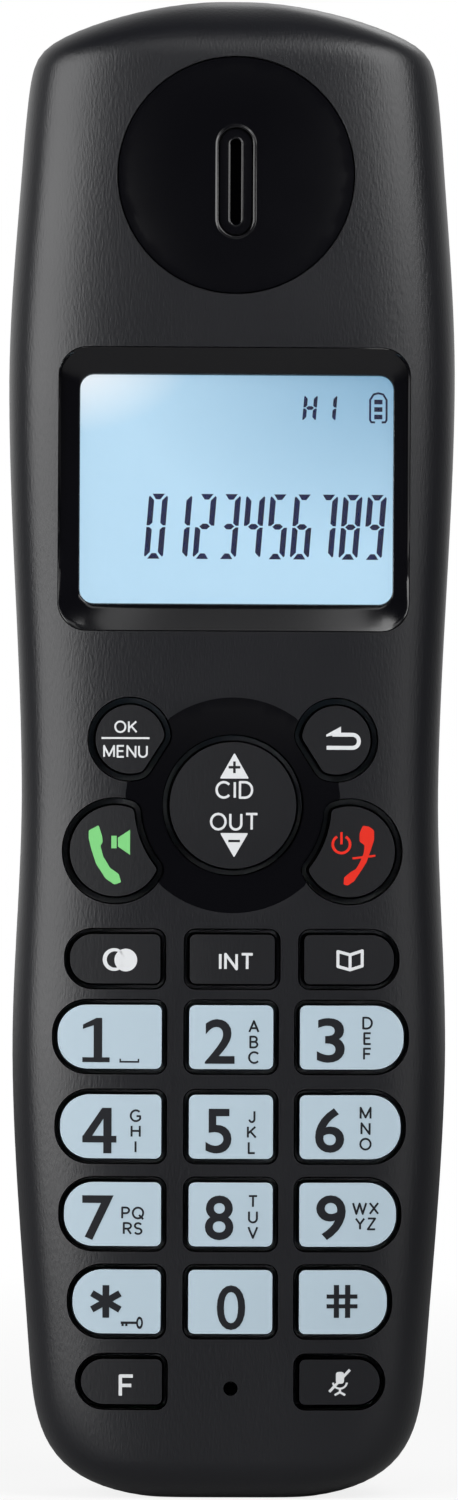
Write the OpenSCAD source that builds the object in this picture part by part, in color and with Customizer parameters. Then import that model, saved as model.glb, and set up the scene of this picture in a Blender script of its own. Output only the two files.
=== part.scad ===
// Cordless telephone handset, standing on its foot: +Z runs from the foot to the ear end,
// the keys face -Y and the origin is at the middle of the foot, level with what it stands on.

/* [Casing] */
// Casing beside the display bezel, the widest place
display_side = 5.15; // [4.6:0.05:8]
// Casing beside the talk and end keys, at the waist
waist_side = 4.8; // [4.3:0.1:8]
// Casing beside the widest digit keys
keys_side = 4.8; // [4.3:0.1:8]
// Casing beside the lowest digit keys, at the chin
chin_side = 4.65; // [4.3:0.05:8]
// How much further in the sides run at the foot than at the chin
foot_taper = 1.55; // [0:0.05:3]
// How much further in the sides run at the shoulders than at the display
shoulder_taper = 1.4; // [0:0.05:3]
// How much further in the sides run at the top than at the shoulders
crown_taper = 1.5; // [0:0.05:3]
// Casing above the ear dish
crown_height = 5.85; // [5:0.05:9]
// Radius of the arc over the top
top_radius = 45; // [40:1:60]
// Wall of the two shells
wall = 1.8; // [1.6:0.1:2]
// Hollow of the face along its length
face_hollow = 1.5; // [0.6:0.1:2]
// Place of the seam between the shells, from the middle of the thickness
seam_y = -1; // [-2:0.1:0]
// Radius of the top edge at the front
top_front_round = 6.5; // [4:0.5:8]
// Radius of the top edge at the back
top_back_round = 9.5; // [6:0.5:10]
// Radius of the foot's edge at the front
foot_front_round = 4.5; // [3:0.5:5]
// Radius of the foot's edge at the back
foot_back_round = 5; // [3:0.5:6]
// Height of the lip that locates the shells
lip_height = 1.2; // [0.8:0.1:2]
// Clearance at the lip
lip_gap = 0.08; // [0.05:0.01:0.15]
// Depth and height of the shadow line along the seam
seam_groove = 0.25; // [0.15:0.05:0.4]
// Room between the face and the board, for the keys and the display
face_room = 8.5; // [8:0.1:12]
// Room between the cells and the crest of the back, for the cover and its bow
back_room = 4.7; // [4.2:0.1:8]

/* [Ear] */
// Diameter of the ear dish
ear_diameter = 25.5; // [22:0.5:30]
// Hollow of the ear dish
ear_hollow = 1; // [0.6:0.1:1.2]
// Width of the sound recess
slot_width = 4.5; // [3.5:0.1:6]
// Length of the sound recess
slot_length = 12.3; // [10:0.1:14]
// Diameter of the receiver capsule
receiver_diameter = 20; // [16:0.5:21]

/* [Display] */
// Width of the window
window_width = 34; // [30:0.1:35]
// Height of the window
window_height = 24.5; // [20:0.1:34]
// Width of the bezel beside the window
bezel_side = 1.75; // [1.2:0.05:3]
// Height of the bezel above and below the window
bezel_end = 2.85; // [2:0.05:4]
// Depth of the window below the face
window_sink = 1.5; // [1.2:0.1:1.7]
// Casing between the bezel and the ear dish
brow_height = 5.85; // [4:0.05:12]
// Casing between the menu keys and the bezel
display_gap = 7.725; // [7.6:0.025:12]

/* [Keys] */
// Key travel
travel = 0.8; // [0.4:0.1:1]
// How far the keys stand proud of the face
key_proud = 0.4; // [0.2:0.1:0.6]
// Clearance round the digit keys
digit_gap = 0.35; // [0.3:0.05:0.4]
// Clearance round the black keys
black_gap = 0.55; // [0.4:0.05:0.6]
// Diameter of the navigation key
nav_diameter = 13.9; // [12.5:0.1:15]
// Face between the navigation key's hole and the holes of the menu and back keys
menu_rib = 1.85; // [1.4:0.05:2.4]
// Face between the navigation key's hole and the holes of the talk and end keys
talk_rib = 2.35; // [1.6:0.05:3]
// Width of the sunk ring round the navigation key's hole
ring_width = 4.05; // [3:0.05:5]
// Diameter of the menu and back keys
menu_diameter = 7.75; // [7:0.05:8.5]
// Diameter of the talk and end keys
talk_diameter = 10.1; // [9:0.1:10.8]
// Height of the digit keys
digit_height = 7.1; // [6:0.1:9]
// Width of the middle digit keys
digit_width = 9.1; // [8:0.1:12]
// Widths of the digit keys at the sides, from the top row down
side_key_widths = [11.05, 10.75, 10.3, 9.35]; // [8:0.05:13]
// Face between a middle key and the keys beside it
column_gap = 2.8; // [2.6:0.1:4]
// Face between two rows of digit keys
row_gap = 2.4; // [2.2:0.1:4]
// Height of the lowest row of digit keys above the foot
first_row_z = 20.6; // [20.4:0.1:26]
// Height of the keys in the two function rows
function_height = 5.2; // [4.6:0.1:7]
// Width of the intercom key
int_width = 9; // [8:0.1:10]
// Width of the redial and phonebook keys
function_width = 9.55; // [8.5:0.05:10]
// Width of the two lowest keys
low_width = 8.55; // [7.5:0.05:9]

/* [Battery] */
// Diameter of a cell
cell_diameter = 10.4; // [9.5:0.1:14.5]
// Length of a cell
cell_length = 44.5; // [40:0.5:50]
// Width of the battery cover
cover_width = 34; // [32:0.5:36]
// Wall of the battery cover
cover_wall = 1.5; // [1.2:0.1:1.7]
// Clearance round the battery cover
cover_gap = 0.15; // [0.1:0.05:0.25]

/* [Hidden] */

$fn = 64;
fit_gap = 0.1;
// Places of the key rows, each from the one below it
row_pitch = digit_height + row_gap;
function_gap = 2.35;
low_gap = 2.05;
nav_rise = 6.85;
low_z = first_row_z - digit_height / 2 - low_gap - function_height / 2;
function_z = first_row_z + 3 * row_pitch + digit_height / 2 + function_gap + function_height / 2;
nav_z = function_z + function_height / 2 + nav_rise + nav_diameter / 2;
menu_x = 11;
menu_z = nav_z + 7;
talk_x = 12.5;
talk_z = nav_z - 4.9;
// Places of the keys across the face
side_inner_x = digit_width / 2 + column_gap;
row_outer_x = [for (w = side_key_widths) side_inner_x + w];
function_inner_x = int_width / 2 + 3.2;
function_outer_x = function_inner_x + function_width;
low_outer_x = side_inner_x + low_width;
corner_radius = 0.8;
digit_end_radius = digit_height / 2 - 0.25;
function_end_radius = function_height / 2 - 0.2;
// Holes round the navigation key
nav_gap = 0.5;
menu_cut = nav_diameter / 2 + nav_gap + menu_rib;
talk_cut = nav_diameter / 2 + nav_gap + talk_rib;
ring_radius = nav_diameter / 2 + nav_gap + ring_width;
ring_sink = 0.6;
// Key caps
key_float = 0.3;
flange_lap = 0.45;
flange_wall = 0.8;
plunger_radius = 1.5;
plunger_hole_gap = 0.4;
plunger_gap = 0.15;
nav_float = 0.65;
nav_pivot_radius = 1;
side_crown_x = 5;
middle_crown_radius = 60;
// Display
bezel_width = window_width + 2 * bezel_side;
bezel_height = window_height + 2 * bezel_end;
display_z = menu_z + menu_diameter / 2 + display_gap + bezel_height / 2;
bezel_radius = 3;
window_radius = 1.4;
bezel_edge = 0.3;
bezel_flange = 1.2;
bezel_flange_wall = 0.7;
bezel_flange_width = 24;
lens_border = 1;
lens_wall = 1;
lcd_border = 1.6;
lcd_wall = 2;
backlight_wall = 1.6;
frame_wall = 1.2;
frame_floor_border = 4;
// Ear
ear_z = display_z + bezel_height / 2 + brow_height + ear_diameter / 2;
ear_rim_sink = 0.1;
ear_rim_width = 0.3;
dish_steps = 8;
ear_insert_wall = 0.95;
ear_floor_wall = 1.1;
gasket_wall = 0.8;
gasket_width = 2.5;
receiver_wall = 4;
holder_wall = 1.1;
holder_height = 3.2;
sound_slot_width = 1.2;
sound_slot_length = 9.3;
// The casing's length and its outline: heights of the widths that it passes through
body_length = ear_z + ear_diameter / 2 + crown_height;
chin_z = first_row_z - 4.6;
lower_z = first_row_z + 25.4;
waist_z = nav_z + 2;
upper_z = display_z + 11.3;
shoulder_z = ear_z + 2.6;
chin_half = row_outer_x[3] + chin_side;
upper_half = bezel_width / 2 + display_side;
outline_points = [[0, chin_half - foot_taper], [chin_z, chin_half], [lower_z, row_outer_x[0] + keys_side],
    [waist_z, talk_x + talk_diameter / 2 + waist_side], [upper_z, upper_half],
    [shoulder_z, upper_half - shoulder_taper], [body_length, upper_half - shoulder_taper - crown_taper]];
top_flat = 3;
foot_lift = 0.4;
back_crest_z = nav_z + 21;
back_drop_foot = 3;
back_drop_top = 2.2;
hollow_margin = 10;
// Squareness of the cross-section, front and back: 2 is an ellipse
front_square = 4.5;
back_square = 2.8;
// Rings of the shells: end zones with close rings, and a long middle with few
foot_zone = 12;
top_zone = 16;
end_steps = 8;
mid_steps = 12;
section_steps = 16;
// Thickness: the face's room, the board, the bay's floor, the cells and the back's room
board_wall = 1;
bay_gap = 0.8;
bay_floor_wall = 1.1;
cell_gap = 0.1;
body_depth = key_proud + face_room + board_wall + bay_gap + bay_floor_wall + cell_gap + cell_diameter
    + back_room;
face_y = -body_depth / 2 + key_proud;
crest_y = body_depth / 2;
board_y = face_y + face_room;
bay_floor_y = board_y + board_wall + bay_gap + bay_floor_wall;
cell_y = bay_floor_y + cell_gap + cell_diameter / 2;
board_inset = wall + 1.3;
board_end = 5;
mat_wall = 0.6;
// Microphone
microphone_z = low_z - 0.9;
microphone_radius = 2.6;
microphone_wall = 2.2;
microphone_hole = 0.65;
boot_radius = 3.4;
boot_height = 4;
boot_wall = 0.6;
// Parts on the back of the board
shield_z = display_z + 1.3;
shield_width = 24;
shield_length = 20;
shield_height = 2.2;
shield_wall = 0.3;
chip_size = 9;
chip_wall = 1.2;
antenna_z = ear_z + 5.6;
antenna_width = 18;
antenna_height = 3;
antenna_strip = 4;
antenna_wall = 0.4;
// Screws
case_boss_radius = 2.6;
boss_margin = 0.3;
case_screw_x = cover_width / 2 - 2.5;
case_screw_z = display_z - bezel_height / 2 - bezel_flange - boss_margin - case_boss_radius;
board_screw_x = 16.3;
board_screw_z = display_z + bezel_height / 2 + 3.2;
board_boss_radius = 2.3;
case_screw_radius = 0.95;
board_screw_radius = 0.75;
screw_gap = 0.03;
screw_head_radius = 1.9;
screw_head_wall = 1.3;
board_head_radius = 1.5;
board_head_wall = 0.9;
screw_bite = 4;
post_radius = 3.4;
post_gap = 0.1;
// Battery bay and cover
cover_z = 17;
cover_top_z = case_screw_z + 5.5;
cover_radius = 7;
cover_ledge = 1.5;
rim_wall = 1.6;
deck_y = crest_y - 7;
deck_wall = 1.5;
case_head_y = deck_y - 4.5;
cell_spacing = cell_diameter + 0.4;
cell_nub = 0.8;
bay_end = 3;
bay_wall = 1;
bay_z = cover_z + 7.5;
plate_wall = 0.4;
notch_radius = 6;
notch_depth = 1.2;
// Grooves for the thumb on the cover, its inner ribs and its legs
grip_count = 4;
grip_pitch = 2.6;
grip_width = 0.9;
grip_length = 13;
grip_depth = 0.35;
grip_z = cover_z + 9;
rib_wall = 1;
rib_clear = 0.35;
leg_width = 5;
leg_wall = 1;
leg_z = [cover_z + 12, cover_z + 44];
// Loudspeaker
speaker_z = ear_z - 3.4;
speaker_radius = 10;
speaker_wall = 4;
grille_pitch = 2.6;
grille_width = 1.2;
grille_length = 12;
grille_count = 5;
// Charging contacts
contact_x = 8.5;
contact_z = 10.5;
contact_width = 3.4;
contact_height = 5;
contact_lap = 0.8;
contact_sink = 0.1;
contact_wall = 0.5;
contact_tail = 2;

// ---- curves and lofts ----

function signed_pow(v, e) = sign(v) * pow(abs(v), e);
function soft_min(a, b, p) = pow(pow(a, -p) + pow(b, -p), -1 / p);
function mix(a, b, t) = a + (b - a) * t;

// Smooth curve through [height, value] points
function span_of(pts, z, i = 0) = i >= len(pts) - 2 || z < pts[i + 1][0] ? i : span_of(pts, z, i + 1);
function slope_at(pts, i) =
    let(a = pts[max(i - 1, 0)], b = pts[min(i + 1, len(pts) - 1)]) (b[1] - a[1]) / (b[0] - a[0]);
function curve(pts, z) =
    let(i = span_of(pts, z), h = pts[i + 1][0] - pts[i][0], t = (z - pts[i][0]) / h)
    (2 * t ^ 3 - 3 * t ^ 2 + 1) * pts[i][1] + (t ^ 3 - 2 * t ^ 2 + t) * h * slope_at(pts, i)
    + (3 * t ^ 2 - 2 * t ^ 3) * pts[i + 1][1] + (t ^ 3 - t ^ 2) * h * slope_at(pts, i + 1);

// Half the casing's width at a height: the sides, cut off by the arc over the top and the foot's corners
function top_half(z) =
    let(h = z - body_length + top_radius) h < 0 ? 1000 : sqrt(top_radius ^ 2 - h ^ 2 + top_flat ^ 2);
function foot_factor(z) = pow(1 - pow(max(0, 1 - (z + foot_lift) / chin_z), 4), 1 / 3);
function half_width(z) = foot_factor(z) * soft_min(curve(outline_points, z), top_half(z), 14);

// How far an edge of radius r has turned inwards at a distance s from the end
function turned(s, r) = s >= r ? 0 : r - sqrt(r ^ 2 - (r - s) ^ 2);
function hollow_at(z) =
    let(half = body_length / 2, u = min(1, abs(z - half) / (half - hollow_margin)))
    face_hollow * (1 + cos(180 * u)) / 2;
function face_at(z) = face_y + hollow_at(z);
function front_at(z) = face_at(z) + turned(z, foot_front_round) + turned(body_length - z, top_front_round);
function back_bow(z) = z < back_crest_z
    ? back_drop_foot * ((back_crest_z - z) / back_crest_z) ^ 2
    : back_drop_top * ((z - back_crest_z) / (body_length - back_crest_z)) ^ 2;
function back_at(z) =
    crest_y - back_bow(z) - turned(z, foot_back_round) - turned(body_length - z, top_back_round);

stations = concat(
    [for (i = [0:end_steps - 1]) foot_zone * (1 - cos(90 * i / end_steps))],
    [for (i = [0:mid_steps - 1]) mix(foot_zone, body_length - top_zone, i / mid_steps)],
    [for (i = [0:end_steps]) body_length - top_zone * (1 - sin(90 * i / end_steps))]);

// Height of a station once the casing's skin is set in by a wall, and the reverse
function inset_z(z, inset) = inset + z * (body_length - 2 * inset) / body_length;
function outset_z(z, inset) = (z - inset) * body_length / (body_length - 2 * inset);

// One half of a cross-section, from +X round the face or the back to -X; over carries it past the seam
function half_section(z, edge_y, square, inset, over) =
    let(w = half_width(z) - inset, h = inset_z(z, inset), past = seam_y + (edge_y > seam_y ? -over : over))
    concat(over > 0 ? [[w, past, h]] : [],
        [for (i = [0:section_steps]) let(t = 180 * i / section_steps)
            [w * signed_pow(cos(t), 2 / square), seam_y + (edge_y - seam_y) * pow(sin(t), 2 / square), h]],
        over > 0 ? [[-w, past, h]] : []);

// Depth of the face and of the inside of the front wall, at any place
function section_y(x, z, edge_y, square, w) =
    seam_y + (edge_y - seam_y) * pow(1 - pow(min(0.999, abs(x) / w), square), 1 / square);
function skin_y(x, z) = section_y(x, z, front_at(z), front_square, half_width(z));
function inner_y(x, z) = let(s = outset_z(z, wall))
    section_y(x, s, front_at(s) + wall, front_square, half_width(s) - wall);
function back_skin_y(x, z) = section_y(x, z, back_at(z), back_square, half_width(z));
function back_inner_y(x, z) = let(s = outset_z(z, wall))
    section_y(x, s, back_at(s) - wall, back_square, half_width(s) - wall);

// Solid through rings of points, each ring with as many points; flip turns it the right way out
module loft(rings, flip = false) {
    n = len(rings[0]);
    m = len(rings);
    sides = [for (j = [0:m - 2]) for (i = [0:n - 1]) let(a = j * n + i, b = j * n + (i + 1) % n)
        each [[a, b, a + n], [b, b + n, a + n]]];
    ends = [[for (i = [n - 1:-1:0]) i], [for (i = [0:n - 1]) (m - 1) * n + i]];
    faces = concat(sides, ends);
    polyhedron([for (r = rings) each r],
        flip ? [for (f = faces) [for (i = [len(f) - 1:-1:0]) f[i]]] : faces);
}

module front_half(inset, over = 0) {
    loft([for (z = stations) half_section(z, front_at(z) + inset, front_square, inset, over)]);
}

module back_half(inset, over = 0) {
    loft([for (z = stations) half_section(z, back_at(z) - inset, back_square, inset, over)], flip = true);
}

// The casing's outline seen from the front, set in by a wall
module outline(inset) {
    right = [for (z = stations) [half_width(z) - inset, inset_z(z, inset)]];
    left = [for (i = [len(right) - 1:-1:0]) [-right[i][0], right[i][1]]];
    polygon(concat(right, left));
}

// Carries a plan drawn as [x, z] through the thickness from y0 to y1
module along_y(y0, y1) {
    translate([0, y1, 0])
        rotate([90, 0, 0])
            linear_extrude(y1 - y0)
                children();
}

// Sets how much the plans below it grow
module grown(amount) {
    $grow = amount;
    children();
}

function corner(c, r, a, steps = 6) =
    [for (i = [0:steps]) c + r * [cos(a + 90 * i / steps), sin(a + 90 * i / steps)]];

// Rectangle with corners of radius ra at its left side and rb at its right side
function round_box(x0, x1, z0, z1, ra, rb) = concat(
    corner([x1 - rb, z1 - rb], rb, 0), corner([x0 + ra, z1 - ra], ra, 90),
    corner([x0 + ra, z0 + ra], ra, 180), corner([x1 - rb, z0 + rb], rb, 270));

function centred_box(w, h, z, r) = round_box(-w / 2, w / 2, z - h / 2, z + h / 2, r, r);

module stadium(w, h) {
    square([w, h - w], center = true);
    for (s = [-1, 1])
        translate([0, s * (h - w) / 2])
            circle(d = w);
}

module both_sides() {
    children();
    mirror([1, 0, 0])
        children();
}

// ---- key plans, seen from the front, that grow by $grow ----

module digit_plan(column, row) {
    z = first_row_z + (3 - row) * row_pitch;
    h = digit_height / 2 + $grow;
    if (column == 0)
        polygon(round_box(-digit_width / 2 - $grow, digit_width / 2 + $grow, z - h, z + h,
            corner_radius + $grow, corner_radius + $grow));
    else
        mirror([column < 0 ? 1 : 0, 0])
            polygon(round_box(side_inner_x - $grow, row_outer_x[row] + $grow, z - h, z + h,
                corner_radius + $grow, digit_end_radius + $grow));
}

module function_plan(column) {
    h = function_height / 2 + $grow;
    if (column == 0)
        polygon(round_box(-int_width / 2 - $grow, int_width / 2 + $grow, function_z - h, function_z + h,
            corner_radius + $grow, corner_radius + $grow));
    else
        mirror([column < 0 ? 1 : 0, 0])
            polygon(round_box(function_inner_x - $grow, function_outer_x + $grow, function_z - h,
                function_z + h, corner_radius + $grow, function_end_radius + $grow));
}

module low_plan(column) {
    h = function_height / 2 + $grow;
    mirror([column < 0 ? 1 : 0, 0])
        polygon(round_box(side_inner_x - $grow, low_outer_x + $grow, low_z - h, low_z + h,
            corner_radius + $grow, function_end_radius + $grow));
}

// Round key with a straight side that faces the navigation key
module menu_plan(column) {
    aim = atan2(menu_z - nav_z, menu_x);
    cut = menu_cut + black_gap - $grow;
    mirror([column < 0 ? 1 : 0, 0])
        difference() {
            translate([menu_x, menu_z])
                circle(d = menu_diameter + 2 * $grow);
            translate([0, nav_z])
                rotate(aim)
                    translate([cut - menu_diameter, -menu_diameter])
                        square([menu_diameter, 2 * menu_diameter]);
        }
}

// Round key with a hollow side that runs round the navigation key
module talk_plan(column) {
    mirror([column < 0 ? 1 : 0, 0])
        difference() {
            translate([talk_x, talk_z])
                circle(d = talk_diameter + 2 * $grow);
            translate([0, nav_z])
                circle(r = talk_cut + black_gap - $grow);
        }
}

module nav_plan() {
    translate([0, nav_z])
        circle(d = nav_diameter + 2 * $grow);
}

// ---- keys ----

// Depth of a key's flange: it clears the inside of the front wall at its outer edge
function flange_at(outer_x, z, half_h) =
    key_float + max(inner_y(outer_x, z - half_h), inner_y(outer_x, z + half_h));

// Key cap whose top follows the face, with a flange that holds it in and a plunger that meets the board
module key_cap(x, z, outer_x, half_h, gap) {
    flange_y = flange_at(outer_x + gap + flange_lap, z, half_h + gap + flange_lap);
    drop = skin_y(outer_x, z) - face_at(z);
    reach = outer_x - side_crown_x;
    crown_radius = x == 0 ? middle_crown_radius : reach ^ 2 / (2 * drop);
    crown_x = x == 0 ? 0 : sign(x) * side_crown_x;
    lean = atan((face_at(z + 1) - face_at(z - 1)) / 2);
    intersection() {
        along_y(-body_depth, flange_y + flange_wall)
            grown(0)
                children();
        translate([crown_x, face_at(z) - key_proud, z])
            rotate([-lean, 0, 0])
                translate([0, crown_radius, -2 * digit_height])
                    cylinder(r = crown_radius, h = 4 * digit_height, $fn = 128);
    }
    along_y(flange_y, flange_y + flange_wall)
        grown(gap + flange_lap)
            children();
    along_y(flange_y, board_y - travel - plunger_gap)
        translate([x, z])
            circle(r = plunger_radius);
}

module digit_key(column, row) {
    outer = column == 0 ? digit_width / 2 : row_outer_x[row];
    middle = column == 0 ? 0 : column * (side_inner_x + outer) / 2;
    color([0.75, 0.82, 0.88])
        key_cap(middle, first_row_z + (3 - row) * row_pitch, outer, digit_height / 2, digit_gap)
            digit_plan(column, row);
}

module black_key(x, z, outer_x, half_h) {
    color([0.16, 0.16, 0.17])
        key_cap(x, z, outer_x, half_h, black_gap)
            children();
}

module key_1() digit_key(-1, 0);
module key_2() digit_key(0, 0);
module key_3() digit_key(1, 0);
module key_4() digit_key(-1, 1);
module key_5() digit_key(0, 1);
module key_6() digit_key(1, 1);
module key_7() digit_key(-1, 2);
module key_8() digit_key(0, 2);
module key_9() digit_key(1, 2);
module key_star() digit_key(-1, 3);
module key_0() digit_key(0, 3);
module key_hash() digit_key(1, 3);

module side_function_key(column) {
    middle = column * (function_inner_x + function_outer_x) / 2;
    black_key(middle, function_z, function_outer_x, function_height / 2)
        function_plan(column);
}

module key_redial() side_function_key(-1);
module key_phonebook() side_function_key(1);
module key_int() black_key(0, function_z, int_width / 2, function_height / 2) function_plan(0);

module low_key(column) {
    black_key(column * (side_inner_x + low_outer_x) / 2, low_z, low_outer_x, function_height / 2)
        low_plan(column);
}

module key_f() low_key(-1);
module key_mute() low_key(1);

module menu_key(column) {
    black_key(column * menu_x, menu_z, menu_x + menu_diameter / 2, menu_diameter / 4)
        menu_plan(column);
}

module key_menu() menu_key(-1);
module key_back() menu_key(1);

module talk_key(column) {
    black_key(column * talk_x, talk_z, talk_x + talk_diameter / 2, talk_diameter / 4)
        talk_plan(column);
}

module key_talk() talk_key(-1);
module key_end() talk_key(1);

// Rocks up and down on a ball behind its middle
module key_navigate() {
    flange_y = inner_y(nav_diameter / 2 + nav_gap + flange_lap, nav_z) + nav_float;
    tip_y = board_y - mat_wall - fit_gap;
    color([0.16, 0.16, 0.17]) {
        along_y(face_at(nav_z) - key_proud, flange_y + flange_wall)
            grown(0)
                nav_plan();
        along_y(flange_y, flange_y + flange_wall)
            grown(nav_gap + flange_lap)
                nav_plan();
        along_y(flange_y, tip_y - nav_pivot_radius)
            translate([0, nav_z])
                circle(r = nav_pivot_radius);
        translate([0, tip_y - nav_pivot_radius, nav_z])
            sphere(r = nav_pivot_radius, $fn = 32);
    }
}

// ---- front shell ----

module key_holes() {
    for (column = [-1:1])
        for (row = [0:3])
            grown(digit_gap)
                digit_plan(column, row);
    for (column = [-1:1])
        grown(black_gap)
            function_plan(column);
    for (column = [-1, 1])
        grown(black_gap) {
            menu_plan(column);
            talk_plan(column);
            low_plan(column);
        }
    grown(nav_gap)
        nav_plan();
}

// Hollow of a disc of radius r, cut out of a face at rim_y, as a shallow arc turned about Y
module dish(r, depth, rim_y, z) {
    ball = (r ^ 2 + depth ^ 2) / (2 * depth);
    arc = [for (i = [0:dish_steps]) let(a = asin(r / ball) * i / dish_steps)
        [ball * sin(a), ball * cos(a) - ball + depth]];
    translate([0, rim_y, z])
        rotate([-90, 0, 0])
            rotate_extrude()
                polygon(concat(arc, [[r, -depth], [0, -depth]]));
}

function ear_rim_y() = face_at(ear_z) + ear_rim_sink;
function ear_back_y() = ear_rim_y() + ear_hollow + ear_insert_wall;
function ear_floor_y() = ear_back_y() + ear_floor_wall;

module ear_socket() {
    along_y(ear_floor_y() - ear_floor_wall - 0.5, ear_floor_y())
        translate([0, ear_z])
            circle(d = ear_diameter + 2);
    along_y(ear_floor_y() - 0.2, ear_floor_y() + holder_height)
        translate([0, ear_z])
            difference() {
                circle(d = receiver_diameter + 2 * fit_gap + 2 * holder_wall);
                circle(d = receiver_diameter + 2 * fit_gap);
            }
}

module microphone_socket() {
    along_y(inner_y(0, microphone_z) - 0.3, inner_y(0, microphone_z) + boot_height - 1)
        translate([0, microphone_z])
            difference() {
                circle(r = boot_radius + fit_gap + bay_wall);
                circle(r = boot_radius + fit_gap);
            }
}

module front_boss(x, z, r, screw_r) {
    along_y(inner_y(x, z) - wall / 2, board_y)
        for (s = [-1, 1])
            translate([s * x, z])
                difference() {
                    circle(r = r);
                    circle(r = screw_r + screw_gap);
                }
}

module front_lip() {
    along_y(seam_y - wall, seam_y + lip_height)
        difference() {
            outline(wall / 2 + lip_gap);
            outline(wall + lip_gap);
        }
}

module front_shell() {
    color([0.19, 0.19, 0.2])
        difference() {
            union() {
                difference() {
                    front_half(0);
                    front_half(wall, over = wall);
                }
                ear_socket();
                microphone_socket();
                front_boss(case_screw_x, case_screw_z, case_boss_radius, case_screw_radius);
                front_boss(board_screw_x, board_screw_z, board_boss_radius, board_screw_radius);
                front_lip();
            }
            along_y(-body_depth, board_y)
                key_holes();
            along_y(-body_depth, ear_back_y() + fit_gap)
                translate([0, ear_z])
                    circle(d = ear_diameter + 2 * fit_gap);
            along_y(-body_depth, ear_floor_y() + 1)
                translate([0, ear_z])
                    stadium(slot_width, slot_length);
            along_y(-body_depth, board_y)
                polygon(centred_box(bezel_width + 2 * fit_gap, bezel_height + 2 * fit_gap, display_z,
                    bezel_radius + fit_gap));
            along_y(-body_depth, 0)
                translate([0, microphone_z])
                    circle(r = microphone_hole);
            dish(ring_radius, ring_sink, face_at(nav_z), nav_z);
        }
}

// ---- ear ----

module ear_insert() {
    color([0.05, 0.05, 0.06])
        difference() {
            along_y(ear_rim_y(), ear_back_y())
                translate([0, ear_z])
                    circle(d = ear_diameter);
            dish(ear_diameter / 2 - ear_rim_width, ear_hollow, ear_rim_y(), ear_z);
            along_y(ear_rim_y(), ear_back_y() - 0.4)
                translate([0, ear_z])
                    stadium(slot_width, slot_length);
            along_y(ear_rim_y(), ear_back_y() + 1)
                translate([0, ear_z])
                    stadium(sound_slot_width, sound_slot_length);
        }
}

module receiver_gasket() {
    color([0.1, 0.1, 0.1])
        along_y(ear_floor_y(), ear_floor_y() + gasket_wall)
            translate([0, ear_z])
                difference() {
                    circle(d = receiver_diameter);
                    circle(d = receiver_diameter - 2 * gasket_width);
                }
}

module earpiece_receiver() {
    y = ear_floor_y() + gasket_wall;
    color([0.6, 0.6, 0.62])
        difference() {
            union() {
                along_y(y, y + receiver_wall / 2)
                    translate([0, ear_z])
                        circle(d = receiver_diameter);
                along_y(y + receiver_wall / 2, y + receiver_wall)
                    translate([0, ear_z])
                        circle(d = receiver_diameter * 0.7);
            }
            along_y(y - 1, y + 0.5)
                translate([0, ear_z])
                    circle(d = receiver_diameter - 3);
        }
}

// ---- display ----

function window_y() = face_at(display_z) + window_sink;
function lens_y() = window_y() + bezel_edge;
function lens_back_y() = lens_y() + lens_wall;

// Deepest place of the front wall's inside along the top and bottom edges of a centred box
function inner_round(half_w, half_h) =
    max(inner_y(half_w, display_z - half_h), inner_y(half_w, display_z + half_h));
function bezel_back_y() =
    max(lens_back_y(), inner_round(bezel_flange_width / 2, bezel_height / 2 + bezel_flange) + fit_gap
        + bezel_flange_wall);
function lcd_y() = bezel_back_y() + fit_gap;
function frame_floor_y() = lcd_y() + lcd_wall + backlight_wall;

// The funnel from the face down to the window, as rings of a loft
function level_ring(pts, y) = [for (p = pts) [p[0], y, p[1]]];
function drape_ring(pts) = [for (p = pts) [p[0], skin_y(p[0], p[1]), p[1]]];

module bezel_funnel() {
    window = centred_box(window_width, window_height, display_z, window_radius);
    rim = centred_box(bezel_width, bezel_height, display_z, bezel_radius);
    far = centred_box(bezel_width + 2, bezel_height + 2, display_z, bezel_radius + 1);
    loft([level_ring(window, window_y() + bezel_edge / 2), level_ring(window, window_y()), drape_ring(rim),
        level_ring(far, -body_depth)], flip = true);
}

module display_bezel() {
    back_y = bezel_back_y();
    color([0.04, 0.04, 0.05])
        difference() {
            union() {
                along_y(-body_depth / 2, back_y)
                    polygon(centred_box(bezel_width, bezel_height, display_z, bezel_radius));
                along_y(back_y - bezel_flange_wall, back_y)
                    polygon(centred_box(bezel_flange_width, bezel_height + 2 * bezel_flange, display_z,
                        corner_radius));
            }
            bezel_funnel();
            along_y(-body_depth, 0)
                polygon(centred_box(window_width, window_height, display_z, window_radius));
            along_y(lens_y(), 0)
                polygon(centred_box(window_width + 2 * lens_border, window_height + 2 * lens_border,
                    display_z, window_radius));
        }
}

module display_lens() {
    w = window_width + 2 * lens_border - 2 * fit_gap;
    h = window_height + 2 * lens_border - 2 * fit_gap;
    color([0.7, 0.85, 0.95, 0.35])
        along_y(lens_y(), lens_y() + lens_wall)
            polygon(centred_box(w, h, display_z, window_radius));
}

module lcd_slab(y, thickness) {
    along_y(y, y + thickness)
        polygon(centred_box(window_width + 2 * lcd_border, window_height + 2 * lcd_border, display_z,
            corner_radius));
}

module lcd_panel() {
    color([0.69, 0.83, 0.94])
        lcd_slab(lcd_y(), lcd_wall);
}

module lcd_backlight() {
    color([0.9, 0.95, 1])
        lcd_slab(lcd_y() + lcd_wall, backlight_wall);
}

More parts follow.
